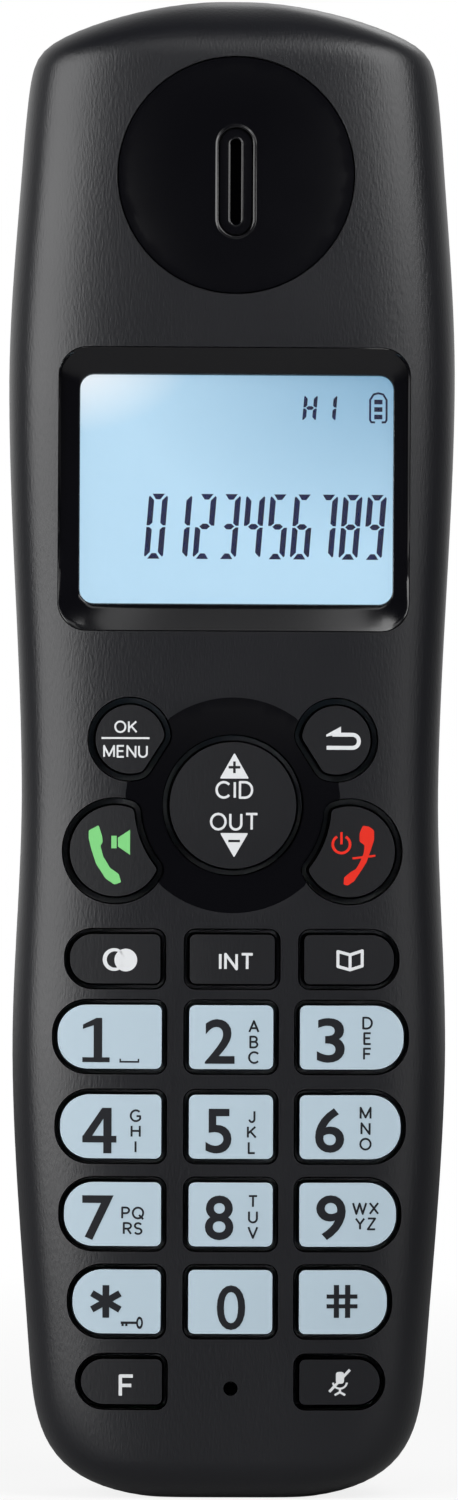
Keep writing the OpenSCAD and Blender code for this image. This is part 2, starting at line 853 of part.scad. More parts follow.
// Tray that carries the panel and its backlight on the board
module lcd_frame() {
    w = window_width + 2 * lcd_border + 2 * fit_gap;
    h = window_height + 2 * lcd_border + 2 * fit_gap;
    front_y = inner_round(w / 2 + frame_wall, h / 2 + frame_wall) + 2 * fit_gap;
    color([0.85, 0.85, 0.83])
        difference() {
            along_y(front_y, board_y)
                polygon(centred_box(w + 2 * frame_wall, h + 2 * frame_wall, display_z, corner_radius));
            along_y(-body_depth, frame_floor_y())
                polygon(centred_box(w, h, display_z, corner_radius));
            along_y(-body_depth, 0)
                polygon(centred_box(window_width - 2 * frame_floor_border,
                    window_height - 2 * frame_floor_border, display_z, corner_radius));
        }
}

// ---- board, mat and what they carry ----

module board_plan() {
    difference() {
        intersection() {
            outline(board_inset);
            translate([-body_length / 2, board_end])
                square([body_length, body_length - 2 * board_end]);
        }
        for (s = [-1, 1]) {
            translate([s * case_screw_x, case_screw_z])
                circle(r = case_screw_radius + 0.25);
            translate([s * board_screw_x, board_screw_z])
                circle(r = board_screw_radius + 0.15);
        }
    }
}

module circuit_board() {
    color([0.1, 0.35, 0.2])
        along_y(board_y, board_y + board_wall)
            board_plan();
}

module plunger_holes() {
    hole = plunger_radius + plunger_hole_gap;
    for (row = [0:3]) {
        z = first_row_z + (3 - row) * row_pitch;
        translate([0, z])
            circle(r = hole);
        for (s = [-1, 1])
            translate([s * (side_inner_x + row_outer_x[row]) / 2, z])
                circle(r = hole);
    }
    translate([0, function_z])
        circle(r = hole);
    for (s = [-1, 1]) {
        translate([s * (function_inner_x + function_outer_x) / 2, function_z])
            circle(r = hole);
        translate([s * (side_inner_x + low_outer_x) / 2, low_z])
            circle(r = hole);
        translate([s * menu_x, menu_z])
            circle(r = hole);
        translate([s * talk_x, talk_z])
            circle(r = hole);
    }
}

module keypad_mat() {
    mat_top = case_screw_z - case_boss_radius - 0.4;
    mat_bottom = low_z - function_height / 2;
    color([0.7, 0.72, 0.74])
        along_y(board_y - mat_wall, board_y)
            difference() {
                intersection() {
                    outline(board_inset + 1);
                    translate([-body_length / 2, mat_bottom])
                        square([body_length, mat_top - mat_bottom]);
                }
                plunger_holes();
            }
}

module microphone_boot() {
    y = inner_y(0, microphone_z) + fit_gap;
    color([0.15, 0.15, 0.15])
        difference() {
            along_y(y, y + boot_height)
                translate([0, microphone_z])
                    circle(r = boot_radius);
            along_y(y + boot_wall, y + boot_height + 1)
                translate([0, microphone_z])
                    circle(r = microphone_radius);
            along_y(y - 1, y + 1)
                translate([0, microphone_z])
                    circle(r = microphone_hole);
        }
}

module microphone() {
    y = inner_y(0, microphone_z) + fit_gap + boot_wall;
    color([0.7, 0.7, 0.7])
        along_y(y, y + microphone_wall)
            translate([0, microphone_z])
                circle(r = microphone_radius);
}

module rf_shield() {
    y = board_y + board_wall;
    color([0.75, 0.75, 0.77])
        difference() {
            along_y(y, y + shield_height)
                polygon(centred_box(shield_width, shield_length, shield_z, corner_radius));
            along_y(y - 1, y + shield_height - shield_wall)
                polygon(centred_box(shield_width - 2 * shield_wall, shield_length - 2 * shield_wall, shield_z,
                    corner_radius - shield_wall));
        }
}

module main_chip() {
    y = board_y + board_wall;
    color([0.08, 0.08, 0.08])
        along_y(y, y + chip_wall)
            polygon(centred_box(chip_size, chip_size, shield_z, shield_wall));
}

// Folded strip antenna that stands on the back of the board at the top
module antenna() {
    y = board_y + board_wall;
    color([0.8, 0.7, 0.45])
        difference() {
            along_y(y, y + antenna_height)
                polygon(centred_box(antenna_width, antenna_strip, antenna_z, antenna_wall / 2));
            along_y(y - 1, y + antenna_height - antenna_wall)
                translate([-antenna_width / 2 + antenna_wall, antenna_z - antenna_strip])
                    square([antenna_width - 2 * antenna_wall, 2 * antenna_strip]);
        }
}

// ---- back shell and battery ----

module cover_plan() {
    polygon(round_box(-cover_width / 2 - $grow, cover_width / 2 + $grow, cover_z - $grow, cover_top_z + $grow,
        cover_radius + $grow, cover_radius + $grow));
}

module bay_plan() {
    w = cell_spacing + cell_diameter + 4 * cell_gap + 2 * $grow;
    translate([-w / 2, bay_z - $grow])
        square([w, cell_length + 2 * bay_end + 2 * $grow]);
}

// What the back shell's inside leaves standing: the deck, the battery bay and the screw posts
module back_inner_works() {
    along_y(deck_y - deck_wall, body_depth)
        grown(rim_wall)
            cover_plan();
    along_y(bay_floor_y - bay_floor_wall, body_depth)
        grown(bay_wall)
            bay_plan();
    along_y(board_y + board_wall + post_gap, deck_y)
        for (s = [-1, 1])
            translate([s * case_screw_x, case_screw_z])
                circle(r = post_radius);
}

// The loudspeaker's front lies just behind the curved inside of the back, all round its rim
function speaker_y() = min([for (a = [0:30:90])
    back_inner_y(speaker_radius * cos(a), speaker_z + speaker_radius * sin(a))]) - 3 * fit_gap;

module speaker_holder() {
    along_y(speaker_y() - speaker_wall + 1, back_inner_y(0, speaker_z) + 0.3)
        translate([0, speaker_z])
            difference() {
                circle(r = speaker_radius + fit_gap + holder_wall);
                circle(r = speaker_radius + fit_gap);
            }
}

module grille() {
    for (i = [0:grille_count - 1]) {
        x = (i - (grille_count - 1) / 2) * grille_pitch;
        translate([x, speaker_z])
            stadium(grille_width, grille_length - 0.8 * abs(x));
    }
}

module contact_windows() {
    both_sides()
        translate([contact_x - contact_width / 2 - fit_gap, contact_z - contact_height / 2 - fit_gap])
            square([contact_width + 2 * fit_gap, contact_height + 2 * fit_gap]);
}

module finger_notch() {
    translate([0, back_at(cover_z) + notch_radius - notch_depth, cover_z])
        sphere(r = notch_radius, $fn = 48);
}

// Stiffening ribs inside the back, beside the loudspeaker
module back_ribs() {
    rib_x = speaker_radius + holder_wall + 2 * rib_wall;
    intersection() {
        back_half(wall / 2);
        along_y(deck_y, body_depth)
            both_sides()
                translate([rib_x, cover_top_z])
                    square([rib_wall, ear_z - cover_top_z]);
    }
}

// Shadow line along the seam
module seam_line() {
    along_y(seam_y - 1, seam_y + seam_groove)
        difference() {
            outline(-1);
            outline(seam_groove);
        }
}

module back_shell() {
    color([0.19, 0.19, 0.2])
        difference() {
            union() {
                difference() {
                    back_half(0);
                    difference() {
                        back_half(wall, over = wall);
                        back_inner_works();
                    }
                }
                speaker_holder();
                back_ribs();
            }
            seam_line();
            along_y(seam_y - wall, seam_y + lip_height + lip_gap)
                difference() {
                    outline(wall / 2);
                    outline(2 * wall);
                }
            difference() {
                along_y(deck_y, body_depth)
                    grown(cover_gap)
                        cover_plan();
                back_half(cover_wall + lip_gap);
            }
            along_y(deck_y, body_depth)
                grown(-cover_ledge)
                    cover_plan();
            along_y(bay_floor_y, body_depth)
                grown(0)
                    bay_plan();
            for (s = [-1, 1]) {
                along_y(case_head_y, body_depth)
                    translate([s * case_screw_x, case_screw_z])
                        circle(r = screw_head_radius + fit_gap);
                along_y(board_y, case_head_y + 1)
                    translate([s * case_screw_x, case_screw_z])
                        circle(r = case_screw_radius + fit_gap);
            }
            along_y(speaker_y(), body_depth)
                grille();
            along_y(0, body_depth)
                contact_windows();
            finger_notch();
        }
}

// Grooves across the cover that the thumb grips
module grip_grooves() {
    for (i = [0:grip_count - 1]) {
        z = grip_z + i * grip_pitch;
        along_y(back_at(z) - grip_depth, body_depth)
            translate([0, z])
                rotate(90)
                    stadium(grip_width, grip_length);
    }
}

// Rib between the cells, and legs that stand on the deck beside the cover's edges
module cover_inside() {
    cells_y = cell_y + cell_diameter / 2 + rib_clear;
    intersection() {
        back_half(cover_wall / 2);
        union() {
            along_y(cells_y, body_depth)
                translate([-rib_wall / 2, bay_z])
                    square([rib_wall, cell_length + 2 * bay_end]);
            along_y(deck_y + fit_gap, body_depth)
                both_sides()
                    for (z = leg_z)
                        translate([cover_width / 2 - cover_ledge - 2 * rib_clear - leg_wall, z])
                            square([leg_wall, leg_width]);
        }
    }
}

// Snaps into the back shell over the cells
module battery_cover() {
    color([0.19, 0.19, 0.2])
        difference() {
            union() {
                intersection() {
                    difference() {
                        back_half(0);
                        back_half(cover_wall);
                    }
                    along_y(deck_y, body_depth)
                        grown(0)
                            cover_plan();
                }
                cover_inside();
            }
            finger_notch();
            grip_grooves();
        }
}

// A cell lies on its side in the bay; up is 1 with its nub at the top and -1 with its nub at the foot
module cell(side, up) {
    body = cell_length - cell_nub;
    z = bay_z + bay_end + (up > 0 ? 0 : cell_nub);
    translate([side * cell_spacing / 2, cell_y, z]) {
        cylinder(d = cell_diameter, h = body);
        translate([0, 0, up > 0 ? body : -cell_nub])
            cylinder(d = cell_diameter * 0.36, h = cell_nub);
    }
}

module battery_cell_left() {
    color([0.35, 0.6, 0.4])
        cell(-1, 1);
}

module battery_cell_right() {
    color([0.35, 0.6, 0.4])
        cell(1, -1);
}

// Wire wound into a cone, as rings round its own path
module coil_spring(r0, r1, length, turns, wire_r) {
    rings = turns * 14;
    function at(i) = let(t = i / rings, a = 360 * turns * t, r = mix(r0, r1, t))
        [r * cos(a), r * sin(a), mix(0, length, t)];
    loft([for (i = [0:rings]) let(a = 360 * turns * i / rings, c = at(i))
        [for (k = [0:5]) let(b = 60 * k) c + wire_r * [cos(b) * cos(a), cos(b) * sin(a), sin(b)]]]);
}

module contact_spring() {
    color([0.8, 0.8, 0.8])
        coil_spring(3.4, 1.8, bay_end - plate_wall - 0.7, 2.5, 0.25);
}

module battery_springs() {
    translate([-cell_spacing / 2, cell_y, bay_z + plate_wall + 0.3])
        contact_spring();
    translate([cell_spacing / 2, cell_y, bay_z + cell_length + 2 * bay_end - plate_wall - 0.3])
        mirror([0, 0, 1])
            contact_spring();
}

// Sheet contacts at both ends of the bay, each with a raised tongue for the nub of one cell
module end_plate(side) {
    w = cell_spacing + cell_diameter - 1;
    translate([-w / 2, cell_y - cell_diameter / 2 + 0.5, 0])
        cube([w, cell_diameter - 1, plate_wall]);
    translate([side * cell_spacing / 2 - 2, cell_y - 1.5, 0])
        cube([4, 3, bay_end - 0.1]);
}

module battery_plates() {
    color([0.8, 0.8, 0.8]) {
        translate([0, 0, bay_z])
            end_plate(1);
        translate([0, 0, bay_z + cell_length + 2 * bay_end])
            mirror([0, 0, 1])
                end_plate(-1);
    }
}

module ringer_speaker() {
    color([0.3, 0.3, 0.32])
        difference() {
            union() {
                along_y(speaker_y() - speaker_wall / 2, speaker_y())
                    translate([0, speaker_z])
                        circle(r = speaker_radius);
                along_y(speaker_y() - speaker_wall, speaker_y() - speaker_wall / 2)
                    translate([0, speaker_z])
                        circle(r = speaker_radius * 0.7);
            }
            along_y(speaker_y() - 0.6, speaker_y() + 1)
                translate([0, speaker_z])
                    circle(r = speaker_radius - 1.5);
        }
}

// Pad that shows through the back shell, with a flange behind the wall and a tail to the board
module charging_contact(side) {
    edge_x = contact_x + contact_width / 2 + contact_lap;
    edge_z = contact_z - contact_height / 2 - contact_lap;
    flange_y = back_inner_y(edge_x, edge_z) - 2 * fit_gap;
    pad_y = back_skin_y(contact_x + contact_width / 2, contact_z - contact_height / 2) - contact_sink;
    color([0.8, 0.75, 0.55])
        translate([side * contact_x, 0, 0]) {
            along_y(flange_y - contact_wall, pad_y)
                translate([-contact_width / 2, contact_z - contact_height / 2])
                    square([contact_width, contact_height]);
            along_y(flange_y - contact_wall, flange_y)
                translate([-contact_width / 2 - contact_lap, contact_z - contact_height / 2 - contact_lap])
                    square([contact_width + 2 * contact_lap, contact_height + 2 * contact_lap]);
            along_y(board_y + board_wall, flange_y - contact_wall)
                translate([-contact_tail / 2, contact_z - contact_wall / 2])
                    square([contact_tail, contact_wall]);
        }
}

module charging_contact_left() charging_contact(-1);
module charging_contact_right() charging_contact(1);

// Cross-recess screw that points to the face, its head's underside at y
module screw(y, radius, length, head_radius, head_wall) {
    difference() {
        union() {
            along_y(y - length, y)
                circle(r = radius);
            along_y(y, y + head_wall)
                circle(r = head_radius);
        }
        along_y(y + head_wall / 2, y + head_wall + 1)
            for (a = [0, 90])
                rotate(a)
                    square([head_radius * 1.3, head_radius * 0.28], center = true);
    }
}

module case_screws() {
    color([0.7, 0.7, 0.7])
        for (s = [-1, 1])
            translate([s * case_screw_x, 0, case_screw_z])
                screw(case_head_y, case_screw_radius, case_head_y - board_y + screw_bite, screw_head_radius,
                    screw_head_wall);
}

module board_screws() {
    y = board_y + board_wall;
    color([0.7, 0.7, 0.7])
        for (s = [-1, 1])
            translate([s * board_screw_x, 0, board_screw_z])
                screw(y, board_screw_radius, board_wall + screw_bite, board_head_radius, board_head_wall);
}

front_shell();
back_shell();
battery_cover();
ear_insert();
receiver_gasket();
earpiece_receiver();
display_bezel();
display_lens();
lcd_panel();
lcd_backlight();
lcd_frame();
circuit_board();
keypad_mat();
key_menu();
key_back();
key_navigate();
key_talk();
key_end();
key_redial();
key_int();
key_phonebook();
key_1();
key_2();
key_3();
key_4();
key_5();
key_6();
key_7();
key_8();
key_9();
key_star();
key_0();
key_hash();
key_f();
key_mute();
microphone_boot();
microphone();
ringer_speaker();
antenna();
rf_shield();
main_chip();
battery_cell_left();
battery_cell_right();
battery_springs();
battery_plates();
charging_contact_left();
charging_contact_right();
case_screws();
board_screws();
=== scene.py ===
"""The finish of a cordless telephone handset: shells, keys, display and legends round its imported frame."""

import math

import bmesh
import bpy
import numpy as np
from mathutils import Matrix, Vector
from mathutils.geometry import delaunay_2d_cdt


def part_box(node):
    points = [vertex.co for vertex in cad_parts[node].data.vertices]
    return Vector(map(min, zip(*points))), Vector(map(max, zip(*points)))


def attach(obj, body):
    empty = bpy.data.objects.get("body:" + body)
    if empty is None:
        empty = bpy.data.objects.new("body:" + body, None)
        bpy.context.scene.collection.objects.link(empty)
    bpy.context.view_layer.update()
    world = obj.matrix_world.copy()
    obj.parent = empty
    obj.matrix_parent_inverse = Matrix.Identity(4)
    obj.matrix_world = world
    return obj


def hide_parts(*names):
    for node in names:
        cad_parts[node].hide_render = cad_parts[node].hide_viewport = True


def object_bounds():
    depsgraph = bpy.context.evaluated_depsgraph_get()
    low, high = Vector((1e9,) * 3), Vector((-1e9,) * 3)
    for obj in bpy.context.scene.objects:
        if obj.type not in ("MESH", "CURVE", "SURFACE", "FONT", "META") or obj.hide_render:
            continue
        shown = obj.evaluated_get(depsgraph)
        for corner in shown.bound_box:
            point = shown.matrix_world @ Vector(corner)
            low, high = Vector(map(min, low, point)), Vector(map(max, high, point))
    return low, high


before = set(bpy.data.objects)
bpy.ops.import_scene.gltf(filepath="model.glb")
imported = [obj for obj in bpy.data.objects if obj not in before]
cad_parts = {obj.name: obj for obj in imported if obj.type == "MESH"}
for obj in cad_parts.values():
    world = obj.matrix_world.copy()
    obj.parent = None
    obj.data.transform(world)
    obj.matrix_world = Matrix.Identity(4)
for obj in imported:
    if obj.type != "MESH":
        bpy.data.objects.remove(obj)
cad_low, cad_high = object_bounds()
MM = 0.001

# ---- fineness of the meshes and the finishes ----

# Comparisons made at once, steps of the search for a place on the skin, and samples along the seam
BATCH, HALVINGS, SEAM_SAMPLES = 4_000_000, 48, 4001
# A hair's gap between pieces that would touch, and the room left beside edges, in mm and in grid steps
HAIR, CREASE_GAP, GRID_GAP = 0.01, 0.12, 0.55
CREASE_ANGLE = 32
CLOUD_SCALE, GRAIN_STRETCH = 90, (1, 1, 0.3)

# ---- the casing's form, in millimetres, as the frame has it ----

LENGTH = cad_high.z / MM
SEAM, FACE, CREST = -1.0, -13.1, 13.5
SHADOW_GAP, SHADOW_DEPTH = 0.2, 0.3
FRONT_SQUARE, BACK_SQUARE = 4.5, 2.8
FACE_HOLLOW, HOLLOW_MARGIN = 1.5, 10
OUTLINE = ((0, 19.8), (16, 21.35), (46, 23.2), (76, 22.35), (119, 23.9), (144, 22.5), (160, 21))
TOP_RADIUS, TOP_FLAT = 45, 3
FOOT_RISE, FOOT_LIFT = 16, 0.4
BACK_CREST_Z, BACK_DROP_FOOT, BACK_DROP_TOP = 95, 3, 2.2
WALL = 1.8
FRONT_FOOT_R, FRONT_TOP_R, BACK_FOOT_R, BACK_TOP_R = 4.5, 6.5, 5, 9.5
# How sharply the sides meet the top's arc, and how the foot's corners bend
BLEND, FOOT_POWER, FOOT_ROOT = 14.0, 4, 3
NO_LIMIT = 1000.0


def outline_curve(z):
    """Smooth curve through the outline's points."""
    zs, ws = np.array(OUTLINE, float).T
    last = len(zs) - 1
    before = np.maximum(np.arange(last + 1) - 1, 0)
    after = np.minimum(np.arange(last + 1) + 1, last)
    slopes = (ws[after] - ws[before]) / (zs[after] - zs[before])
    i = np.clip(np.searchsorted(zs, z, "right") - 1, 0, last - 1)
    h = zs[i + 1] - zs[i]
    t = (z - zs[i]) / h
    return (
        (2 * t**3 - 3 * t**2 + 1) * ws[i]
        + (t**3 - 2 * t**2 + t) * h * slopes[i]
        + (3 * t**2 - 2 * t**3) * ws[i + 1]
        + (t**3 - t**2) * h * slopes[i + 1]
    )


def half_width(z):
    """Half the casing's width: the sides, cut off by the arc over the top and the foot's corners."""
    z = np.clip(z, 0, LENGTH)
    rise = z - LENGTH + TOP_RADIUS
    top = np.sqrt(np.maximum(TOP_RADIUS**2 - rise**2, 0) + TOP_FLAT**2)
    top = np.where(rise < 0, NO_LIMIT, top)
    foot = (1 - np.maximum(0, 1 - (z + FOOT_LIFT) / FOOT_RISE) ** FOOT_POWER) ** (1 / FOOT_ROOT)
    return foot * (outline_curve(z) ** -BLEND + top**-BLEND) ** (-1 / BLEND)


def turned(s, r):
    """How far an edge of radius r has turned inwards at a distance s from the end."""
    s = np.clip(s, 0, r)
    return r - np.sqrt(np.maximum(r**2 - (r - s) ** 2, 0))


def face_at(z):
    """Depth of the middle of the face, which is a little hollow."""
    u = np.minimum(1, np.abs(z - LENGTH / 2) / (LENGTH / 2 - HOLLOW_MARGIN))
    return FACE + FACE_HOLLOW * (1 + np.cos(math.pi * u)) / 2


def back_line(z):
    """Depth of the crest of the back."""
    low = BACK_DROP_FOOT * ((BACK_CREST_Z - z) / BACK_CREST_Z) ** 2
    high = BACK_DROP_TOP * ((z - BACK_CREST_Z) / (LENGTH - BACK_CREST_Z)) ** 2
    return CREST - np.where(z < BACK_CREST_Z, low, high)


def unit(vectors):
    return vectors / np.linalg.norm(vectors, axis=-1, keepdims=True)


class Form:
    """A surface over the XZ plane that faces -Y or +Y, as sign says."""

    def __init__(self, sign, height):
        self.sign = sign
        self.y_at = height

    def flatten(self, plan):
        return plan

    def place(self, u, v):
        return u, self.y_at(u, v), v

    def normal(self, x, z, step=0.02):
        dx = (self.y_at(x + step, z) - self.y_at(x - step, z)) / (2 * step)
        dz = (self.y_at(x, z + step) - self.y_at(x, z - step)) / (2 * step)
        return unit(np.stack([-dx, np.ones_like(dx), -dz], -1) * self.sign)


def flat_form(sign, y):
    """A flat form at a depth."""
    return Form(sign, lambda x, z: np.full_like(x, y))


class Casing(Form):
    """Half of the casing, from the seam round to the middle of the face or the back."""

    def __init__(self, sign, square, line, foot_round, top_round, sink=None):
        self.sign = sign
        self.square = square
        self.line = line
        self.foot_round = foot_round
        self.top_round = top_round
        self.base = SEAM + sign * SHADOW_GAP
        self.sink = sink or (lambda x, z: 0 * x)

    def depth(self, z):
        z = np.clip(z, 0, LENGTH)
        edge = self.line(z) - self.sign * (
            turned(z, self.foot_round) + turned(LENGTH - z, self.top_round)
        )
        return self.sign * (edge - self.base)

    def y_at(self, x, z):
        q = np.minimum(np.abs(x) / half_width(z), 1)
        rise = self.depth(z) * (1 - q**self.square) ** (1 / self.square)
        return self.base + self.sign * (rise - self.sink(x, z))

    def flatten(self, plan):
        """Rolls the curved sides and ends out flat, near enough at their real size."""
        x, z = plan.T
        n = self.square
        q = np.minimum(np.abs(x) / half_width(z), 1)
        u = np.abs(x) + self.depth(z) * (1 - (1 - q**n) ** (1 / n))
        v = z - turned(z, self.foot_round) + turned(LENGTH - z, self.top_round)
        return np.stack([np.copysign(u, x), v], -1)

    def unroll(self, v):
        """Height and shrink of a rolled-out place: the flat ends shrink to nothing on the seam."""

        def from_end(s, r):
            part = np.clip(s / (r * math.sqrt(2)), -math.sqrt(0.5), math.sqrt(0.5))
            return np.where(s < r, r * (1 - np.cos(np.arcsin(part) + math.pi / 4)), s)

        low = from_end(v, self.foot_round)
        high = LENGTH - from_end(LENGTH - v, self.top_round)
        z = np.clip(np.where(v < LENGTH / 2, low, high), 0, LENGTH)
        past_foot = np.maximum(0, -self.foot_round - v) / self.depth(0.0)
        past_top = np.maximum(0, v - LENGTH - self.top_round) / self.depth(LENGTH)
        return z, np.clip(1 - past_foot - past_top, 0, 1)

    def place(self, u, v):
        n = self.square
        z, shrink = self.unroll(v)
        w, d = half_width(z) * shrink, self.depth(z) * shrink
        low, high = np.zeros_like(u), np.full_like(u, math.pi / 2)
        for _ in range(HALVINGS):
            t = (low + high) / 2
            reach = w * np.cos(t) ** (2 / n) + d * (1 - np.sin(t) ** (2 / n))
            low = np.where(reach > np.abs(u), t, low)
            high = np.where(reach > np.abs(u), high, t)
        x = np.copysign(w * np.cos(t) ** (2 / n), u)
        rise = d * np.sin(t) ** (2 / n)
        return x, self.base + self.sign * (rise - self.sink(x, z)), z

    def normal(self, x, z, step=0.02):
        n = self.square
        w, d = half_width(z), self.depth(z)
        q = np.minimum(np.abs(x) / w, 1)
        s = (1 - q**n) ** (1 / n)
        above, below = np.minimum(z + step, LENGTH), np.maximum(z - step, 0)
        dw = (half_width(above) - half_width(below)) / (above - below)
        dd = (self.depth(above) - self.depth(below)) / (above - below)
        across = q ** (n - 1) / w * np.sign(x)
        out = np.maximum(s ** (n - 1), 1e-9) / d * self.sign
        along = -(q**n) * dw / w - s**n * dd / d
        sink_x = (self.sink(x + step, z) - self.sink(x - step, z)) / (2 * step)
        sink_z = (self.sink(x, z + step) - self.sink(x, z - step)) / (2 * step)
        slope = np.abs(out)
        return unit(np.stack([across + sink_x * slope, out, along + sink_z * slope], -1))


def front_half(sink=None):
    return Casing(-1, FRONT_SQUARE, face_at, FRONT_FOOT_R, FRONT_TOP_R, sink)


def back_half(sink=None):
    return Casing(1, BACK_SQUARE, back_line, BACK_FOOT_R, BACK_TOP_R, sink)


# ---- plans: closed loops of [x, z], counter-clockwise as the face is seen ----


class Loop:
    """A closed plan with its outward directions, which can be grown or shrunk a little."""

    def __init__(self, points):
        self.points = np.asarray(points, float)
        along = np.roll(self.points, -1, 0) - np.roll(self.points, 1, 0)
        out = np.stack([along[:, 1], -along[:, 0]], -1)
        self.out = unit(out)
        self.fillet = None

    def grown(self, amount):
        return self.points + self.out * amount


def resampled(points, spacing):
    """The same closed outline with points at an even spacing."""
    p = np.vstack([points, points[:1]])
    run = np.concatenate([[0], np.cumsum(np.linalg.norm(np.diff(p, axis=0), axis=1))])
    n = max(8, int(round(run[-1] / spacing)))
    at = np.linspace(0, run[-1], n, endpoint=False)
    return np.stack([np.interp(at, run, p[:, k]) for k in (0, 1)], -1)


def softened(points, reach, fine=0.05):
    """Rounds the corners of an outline over a reach."""
    p = resampled(points, fine)
    width = int(reach / fine)
    kernel = np.ones(width) / width
    pad = np.vstack([p[-width:], p, p[:width]])
    smooth = np.stack([np.convolve(pad[:, k], kernel, "same") for k in (0, 1)], -1)
    return smooth[width:-width]


def arc(cx, cz, r, start, end, steps=24):
    a = np.radians(np.linspace(start, end, steps + 1))
    return np.stack([cx + r * np.cos(a), cz + r * np.sin(a)], -1)


def round_box(x0, x1, z0, z1, left_r, right_r, spacing=0.3):
    corners = [
        arc(x1 - right_r, z1 - right_r, right_r, 0, 90),
        arc(x0 + left_r, z1 - left_r, left_r, 90, 180),
        arc(x0 + left_r, z0 + left_r, left_r, 180, 270),
        arc(x1 - right_r, z0 + right_r, right_r, 270, 360),
    ]
    return Loop(resampled(np.vstack(corners), spacing))


def circle(cx, cz, r, spacing=0.3):
    return Loop(resampled(arc(cx, cz, r, 0, 360, 256)[:-1], spacing))


def stadium(cx, cz, width, length, spacing=0.25):
    r = width / 2
    return round_box(cx - r, cx + r, cz - length / 2, cz + length / 2, r, r, spacing)


def mirrored(loop):
    return Loop((loop.points * (-1, 1))[::-1])


def batches(points, others):
    """Groups of points small enough to be compared with all the others."""
    return np.array_split(np.arange(len(points)), max(1, len(points) * len(others) // BATCH))


def inside(points, loop):
    """Which points lie inside a closed polygon."""
    a, b = loop, np.roll(loop, -1, 0)
    rise = np.where(b[:, 1] == a[:, 1], 1, b[:, 1] - a[:, 1])
    hit = np.zeros(len(points), bool)
    for part in batches(points, loop):
        px, pz = points[part, 0][:, None], points[part, 1][:, None]
        spans = (a[:, 1] > pz) != (b[:, 1] > pz)
        cross = a[:, 0] + (pz - a[:, 1]) * (b[:, 0] - a[:, 0]) / rise
        hit[part] = (spans & (px < cross)).sum(1) % 2 == 1
    return hit


def near(points, others, reach):
    """Which points lie within reach of any of the others."""
    hit = np.zeros(len(points), bool)
    for part in batches(points, others):
        gap = points[part][:, None, :] - others[None, :, :]
        hit[part] = ((gap**2).sum(-1) < reach**2).any(1)
    return hit


def within(points, border, voids):
    """Which points lie inside the border and outside the voids."""
    hit = inside(points, border)
    for void in voids:
        hit &= ~inside(points, void)
    return hit


# ---- mesh making ----


def placed(name, data):
    """A new object in the scene."""
    obj = bpy.data.objects.new(name, data)
    bpy.context.scene.collection.objects.link(obj)
    return obj


def raised(plan, y):
    """Points of a plan at a depth, or at a depth each."""
    return np.stack([plan[:, 0], np.broadcast_to(y, len(plan)), plan[:, 1]], -1)


def make_object(name, verts, faces, normals, materials, paint=None):
    """A smooth piece from vertices in millimetres, with its own normals or with sharp creases."""
    mesh = bpy.data.meshes.new(name)
    mesh.from_pydata([Vector(v) * MM for v in verts], [], [list(map(int, f)) for f in faces])
    for m in materials:
        mesh.materials.append(m)
    mesh.polygons.foreach_set("use_smooth", [True] * len(mesh.polygons))
    if paint is not None:
        mesh.polygons.foreach_set("material_index", list(map(int, paint)))
    mesh.update()
    if normals is None:
        mesh.set_sharp_from_angle(angle=math.radians(CREASE_ANGLE))
    else:
        mesh.normals_split_custom_set_from_vertices([Vector(n) for n in normals])
    return placed(name, mesh)


def lofted(name, rings, material, closed):
    """A piece through rings of as many points: closed on itself, or with a face at each end."""
    n, count = len(rings[0]), len(rings)
    faces = []
    for k in range(count if closed else count - 1):
        a, b = k * n, (k + 1) % count * n
        for i in range(n):
            j = (i + 1) % n
            faces.append([a + i, a + j, b + j, b + i] if closed else [a + j, a + i, b + i, b + j])
    if not closed:
        faces += [range(n), range(count * n - 1, (count - 1) * n - 1, -1)]
    return make_object(name, np.vstack(rings), faces, None, [material])


def triangulated(flat, chains):
    """Delaunay triangles of flat points that keep the chained edges."""
    _, _, faces, origin, _, _ = delaunay_2d_cdt([Vector(p) for p in flat], chains, [], 0, 1e-6)
    index = [o[0] if o else -1 for o in origin]
    tri = np.array([[index[i] for i in f] for f in faces if len(f) == 3])
    return tri[(tri >= 0).all(1)]


def hex_grid(low, high, spacing):
    """Evenly spaced points in staggered rows."""
    rows = np.arange(low[1], high[1], spacing * math.sqrt(3) / 2)
    cols = np.arange(low[0], high[0], spacing)
    u, v = np.meshgrid(cols, rows)
    u = u + (np.arange(len(rows)) % 2)[:, None] * spacing / 2
    return np.stack([u.ravel(), v.ravel()], -1)


class Builder:
    """Collects vertices, normals, faces and their materials for one piece."""

    def __init__(self):
        self.verts, self.normals, self.faces, self.paint = [], [], [], []

    def add(self, points, normals):
        first = len(self.verts)
        self.verts.extend(points)
        self.normals.extend(normals)
        return np.arange(first, len(self.verts))

    def face(self, faces, marks=0):
        """Faces and their marks, which are numbers of materials."""
        self.faces.extend(faces)
        self.paint.extend(np.broadcast_to(marks, len(faces)))

    def strip(self, ring_a, ring_b, flip, marks=0):
        quads = np.stack([ring_a, np.roll(ring_a, -1), np.roll(ring_b, -1), ring_b], -1)
        self.face(quads[:, ::-1] if flip else quads, marks)

    def object(self, name, materials):
        """The finished piece, without the vertices that no face uses."""
        used = np.unique(np.concatenate([np.ravel(f) for f in self.faces]))
        fresh = np.zeros(len(self.verts), int)
        fresh[used] = np.arange(len(used))
        faces = [fresh[np.asarray(f)] for f in self.faces]
        verts, normals = np.array(self.verts)[used], np.array(self.normals)[used]
        return make_object(name, verts, faces, normals, materials, self.paint)


